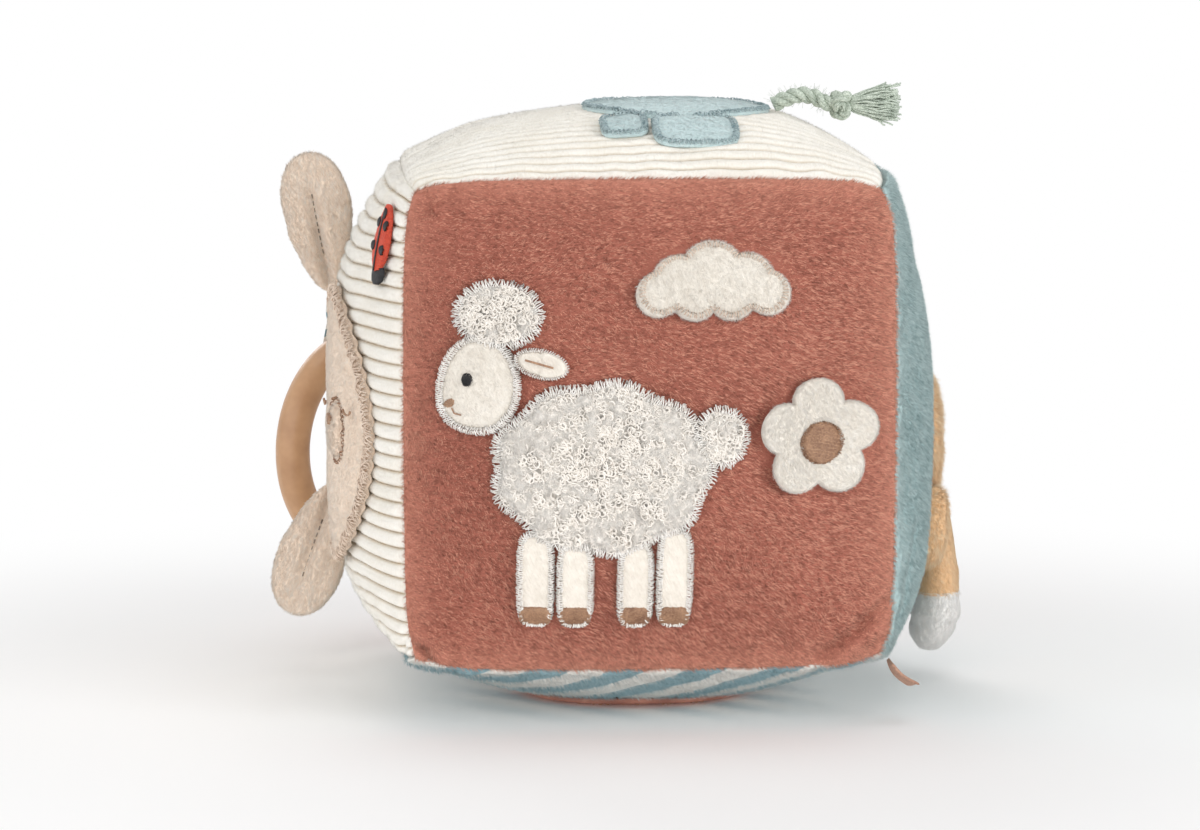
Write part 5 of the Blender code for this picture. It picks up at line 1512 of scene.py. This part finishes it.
def ribbon_drop(share, width):
    """The folded ribbon's middle, from the seam at share 0 down to the loop's mouth at share 1."""
    height = RIBBON_TOP - RIBBON_WIDTH / 2 - width
    seam = skin("back", HALF, height) + OUTWARD * 0.0005
    tube, away = ribbon_tube(width)
    radius = RING_TUBE_RADIUS + RING_RUNNING_GAP + RIBBON_THICKNESS / 2
    mouth = tube + away * (radius / math.cos(RIBBON_MOUTH_ANGLE))
    rest = 1 - share
    return (seam * rest ** 3 + (seam + OUTWARD * RIBBON_LEAVE) * 3 * rest ** 2 * share
            + (mouth + away * RIBBON_ARRIVE) * 3 * rest * share ** 2 + mouth * share ** 3)


def ribbon_normal(share, width):
    low = min(share, 1 - TINY)
    along = ribbon_drop(low + TINY, width) - ribbon_drop(low, width)
    over_width = ribbon_drop(low, width + TINY) - ribbon_drop(low, width - TINY)
    return unit(np.cross(along, over_width))


def ribbon_line(width):
    """One lengthwise line of the ribbon: down one layer, round the ring and up the other."""
    apart = (RIBBON_THICKNESS + RIBBON_LAYER_GAP) / 2
    shares = np.linspace(0, 1, 25)
    down = [ribbon_drop(s, width) + ribbon_normal(s, width) * apart for s in shares]
    climb = [ribbon_drop(s, width) - ribbon_normal(s, width) * apart for s in shares[::-1]]
    tube, away = ribbon_tube(width)
    side = ribbon_normal(1, width)
    radius = RING_TUBE_RADIUS + RING_RUNNING_GAP + RIBBON_THICKNESS / 2
    sweep = np.linspace(RIBBON_MOUTH_ANGLE, 2 * np.pi - RIBBON_MOUTH_ANGLE, 37)
    loop = [tube + (away * math.cos(angle) + side * math.sin(angle)) * radius for angle in sweep]
    return np.array(down + loop + climb)


def add_ribbon():
    """The striped ribbon, folded round the ring with both ends in the seam."""
    widths = RIBBON_WIDTH * (np.linspace(-0.5, 0.5, 31))
    lines = np.array([ribbon_line(width) for width in widths])
    middle = lines[len(lines) // 2]
    run = np.concatenate([[0], np.cumsum(np.linalg.norm(np.diff(middle, axis=0), axis=1))])
    normal = unit(np.cross(np.gradient(lines, axis=1), np.gradient(lines, axis=0)))
    hem = np.sqrt(1 - np.clip((np.abs(widths) - RIBBON_WIDTH / 2 + 0.0006) / 0.0006, 0, 0.97) ** 2)
    half = RIBBON_THICKNESS / 2 * hem[:, None, None] * (1 + 0 * normal[..., :1])
    ribs = 0.00006 * np.sin(run / 0.0009 * 2 * np.pi)[None, :, None]
    off = normal * (half * 0.9 + ribs)
    points, groups = two_sided(lines + off, lines - off)
    across, along = np.meshgrid(run, widths)
    place = np.tile(np.column_stack([across.ravel(), along.ravel(), 0 * along.ravel()]), (2, 1))
    mesh = build_mesh("ribbon_cloth", points, groups, {"place": place})
    hinge = np.array(BODIES["strap_swing"]["pos_m"])
    bend = (hinge - OUTWARD * 0.0005, hinge + OUTWARD * 0.0080)
    piece = settle("ribbon_cloth", mesh, RIBBON, "striped_ribbon", body="strap", nodes=("ring_strap",),
                   bend=bend)


def add_patch():
    """The smooth round patch under the block, folded a little where it is pressed."""
    face, centre, size = spot("bottom_patch")
    def lift(share, angle):
        x, y = ellipse(*size)(angle)
        a, b = centre[0] + x * share, centre[1] + y * share
        return np.minimum(creases(a, b, PATCH_FOLDS) * 0.6 - 0.0001, 0) + 0.0005

    patch = add_pad("patch_cloth", face, centre, ellipse(*size), 0.0010, PATCH, "brown_patch",
                    round_width=0.0009, lift=lift, rings=50, count=220, nodes=("bottom_patch",))
    rng = np.random.default_rng(95)
    inner = ellipse(size[0] - 0.0022, size[1] - 0.0022)
    edge = border_paths(face, centre, inner, 0.0014, 0.0006, 0.0021, rng, slant=3.0, hairy=0.05)
    edge[..., 2] = np.maximum(edge[..., 2], 0.00035)
    add_threads("patch_stitches", edge, 0.00016, TAN_THREAD, "tan_stitching", sides=3)


def add_tag():
    """A bare folded tape that hangs out of the seam."""
    root = np.array(BODIES["tag_fold"]["pos_m"])
    down = math.sin(TAG_TURN) * X - math.cos(TAG_TURN) * Z
    through = np.cross(Y, down)
    steps, width_steps = 26, 14
    t = np.linspace(0, 1, steps)
    twist = TAG_TWIST * t ** 0.6
    fold = 0.00042 * np.sqrt(np.clip(1 - ((t - 0.85) / 0.15).clip(0, 1) ** 2, 0, 1))
    widths = np.linspace(-0.5, 0.5, width_steps) * TAG_WIDTH
    across = np.cos(twist)[:, None] * Y + np.sin(twist)[:, None] * through
    facing = np.cos(twist)[:, None] * through - np.sin(twist)[:, None] * Y
    middle = root + down * (t * TAG_LENGTH)[:, None] + through * (0.0007 * np.sin(t * np.pi * 1.2))[:, None]
    ripple = 0.0003 * np.sin(widths / TAG_WIDTH * 2 * np.pi)[None] * t[:, None]
    sides = []
    for side in (1, -1):
        off = (side * fold)[:, None] + ripple
        sides.append(middle[:, None] + across[:, None] * widths[:, None] + off[..., None] * facing[:, None])
    points, groups = two_sided(*sides)
    local = points - root
    place = np.column_stack([local @ Y, local @ down, local @ through])
    mesh = build_mesh("tag_cloth_fold", points, groups, {"place": place})
    settle("tag_fold_cloth", mesh, TAG, "tag_cloth", body="tag", nodes=("side_tag",))


def add_stuffing():
    """Lumpy fibre in place of the two plain halves of the stuffing."""
    for number, node in enumerate(("filling_lower", "filling_upper")):
        source = frame["nodes"][node].data
        points = np.empty(len(source.vertices) * 3, dtype=np.float32)
        source.vertices.foreach_get("co", points)
        mesh = source.copy()
        normals = np.empty(len(mesh.vertices) * 3, dtype=np.float32)
        mesh.vertex_normals.foreach_get("vector", normals)
        points, normals = points.reshape(-1, 3), normals.reshape(-1, 3)
        sunk = 0.0004 + 0.0008 * (1 + rumple(points, 0.009, 97 + number))
        local = (points - CENTRE) / HALF
        corner = np.clip(np.abs(local).prod(axis=1), 0, 1) ** (CORNER_SHARPNESS / 2)
        points = points - np.sign(local) * (corner * CORNER_DRAW)[:, None]
        mesh.vertices.foreach_set("co", (points - normals * sunk[:, None]).astype(np.float32).ravel())
        mesh.materials.clear()
        settle(node + "_fibre", mesh, FIBRE, "filling_fibre", nodes=(node,))


def dress_rattle():
    for node, item in frame["nodes"].items():
        if node.startswith("rattle"):
            item.data.materials.clear()
            item.data.materials.append(RATTLE)


def seen_directly(tree, path):
    """1 for a ray from the camera, a mirror or through glass, so that all of them see the white."""
    total = path.outputs["Is Camera Ray"]
    for kind in ("Is Glossy Ray", "Is Transmission Ray"):
        added = tree.nodes.new("ShaderNodeMath")
        added.use_clamp = True
        tree.links.new(total, added.inputs[0])
        tree.links.new(path.outputs[kind], added.inputs[1])
        total = added.outputs[0]
    return total


def add_studio():
    """A pale floor that keeps the block's shadow, a white surround and soft lamps."""
    floor_mesh = bpy.data.meshes.new("floor")
    corners = [(x * FLOOR_REACH, y * FLOOR_REACH, 0) for x, y in ((-1, -1), (1, -1), (1, 1), (-1, 1))]
    floor_mesh.from_pydata(corners, [], [(0, 1, 2, 3)])
    floor = bpy.data.objects.new("floor", floor_mesh)
    bpy.context.collection.objects.link(floor)
    material = bpy.data.materials.new("floor_paint")
    material.use_nodes = True
    tree = material.node_tree
    tree.nodes.clear()
    diffuse = add_node(tree, "BsdfDiffuse", {"Color": grey(0.97)})
    plain = add_node(tree, "Emission")
    # Painted light: a glow that lights the block from the floor near it, which the camera doesn't see.
    bounce = add_node(tree, "Emission", {"Strength": FLOOR_BOUNCE})
    bounced = add_node(tree, "AddShader", {0: diffuse, 1: bounce})
    place = add_node(tree, "TexCoord", output="Object")
    distance = add_node(tree, "VectorMath", {0: place}, "Value", operation="LENGTH")
    reach = {"Value": distance, "From Min": FLOOR_NEAR, "From Max": FLOOR_FAR}
    fade = add_node(tree, "MapRange", reach, interpolation_type="SMOOTHSTEP")
    lighting = add_node(tree, "MixShader", {0: fade, 1: bounced, 2: diffuse})
    shown = add_node(tree, "MixShader", {0: fade, 1: diffuse, 2: plain})
    direct = seen_directly(tree, tree.nodes.new("ShaderNodeLightPath"))
    chosen = add_node(tree, "MixShader", {0: direct, 1: lighting, 2: shown})
    tree.links.new(chosen, tree.nodes.new("ShaderNodeOutputMaterial").inputs["Surface"])
    floor_mesh.materials.append(material)

    world = bpy.data.worlds.new("surround")
    world.use_nodes = True
    bpy.context.scene.world = world
    tree = world.node_tree
    tree.nodes.remove(tree.nodes["Background"])
    ambient = add_node(tree, "Background", {"Color": grey(1), "Strength": AMBIENT})
    white = add_node(tree, "Background", {"Color": grey(1), "Strength": 1})
    direct = seen_directly(tree, tree.nodes.new("ShaderNodeLightPath"))
    chosen = add_node(tree, "MixShader", {0: direct, 1: ambient, 2: white})
    tree.links.new(chosen, tree.nodes["World Output"].inputs["Surface"])

    for name, place, size, power in LAMPS:
        lamp = bpy.data.lights.new(name, "AREA")
        lamp.shape = "DISK"
        lamp.size = size
        lamp.energy = power
        item = bpy.data.objects.new(name, lamp)
        item.location = place
        item.rotation_euler = (Vector(LAMP_AIM) - Vector(place)).to_track_quat("-Z", "Y").to_euler()
        bpy.context.collection.objects.link(item)


def add_camera():
    """The camera that matches the photograph's view."""
    heading = Vector((math.sin(TURN) * math.cos(TILT), math.cos(TURN) * math.cos(TILT), -math.sin(TILT)))
    data = bpy.data.cameras.new("camera")
    data.lens = LENS
    data.clip_start = 0.05
    camera = bpy.data.objects.new("camera", data)
    camera.location = AIM - heading * DISTANCE
    camera.rotation_euler = heading.to_track_quat("-Z", "Y").to_euler()
    bpy.context.collection.objects.link(camera)
    bpy.context.scene.camera = camera


bpy.context.scene.view_settings.view_transform = "Standard"
add_camera()
add_rope()
for face_name in FACES:
    add_panel(face_name)
add_lamb()
add_flower()
add_ladybird()
add_bear()
add_top_shape()
add_animal()
add_ear("ear_upper", 101)
add_ear("ear_lower", 111)
add_tail()
add_ring()
add_ribbon()
add_patch()
add_tag()
add_stuffing()
dress_rattle()
add_studio()
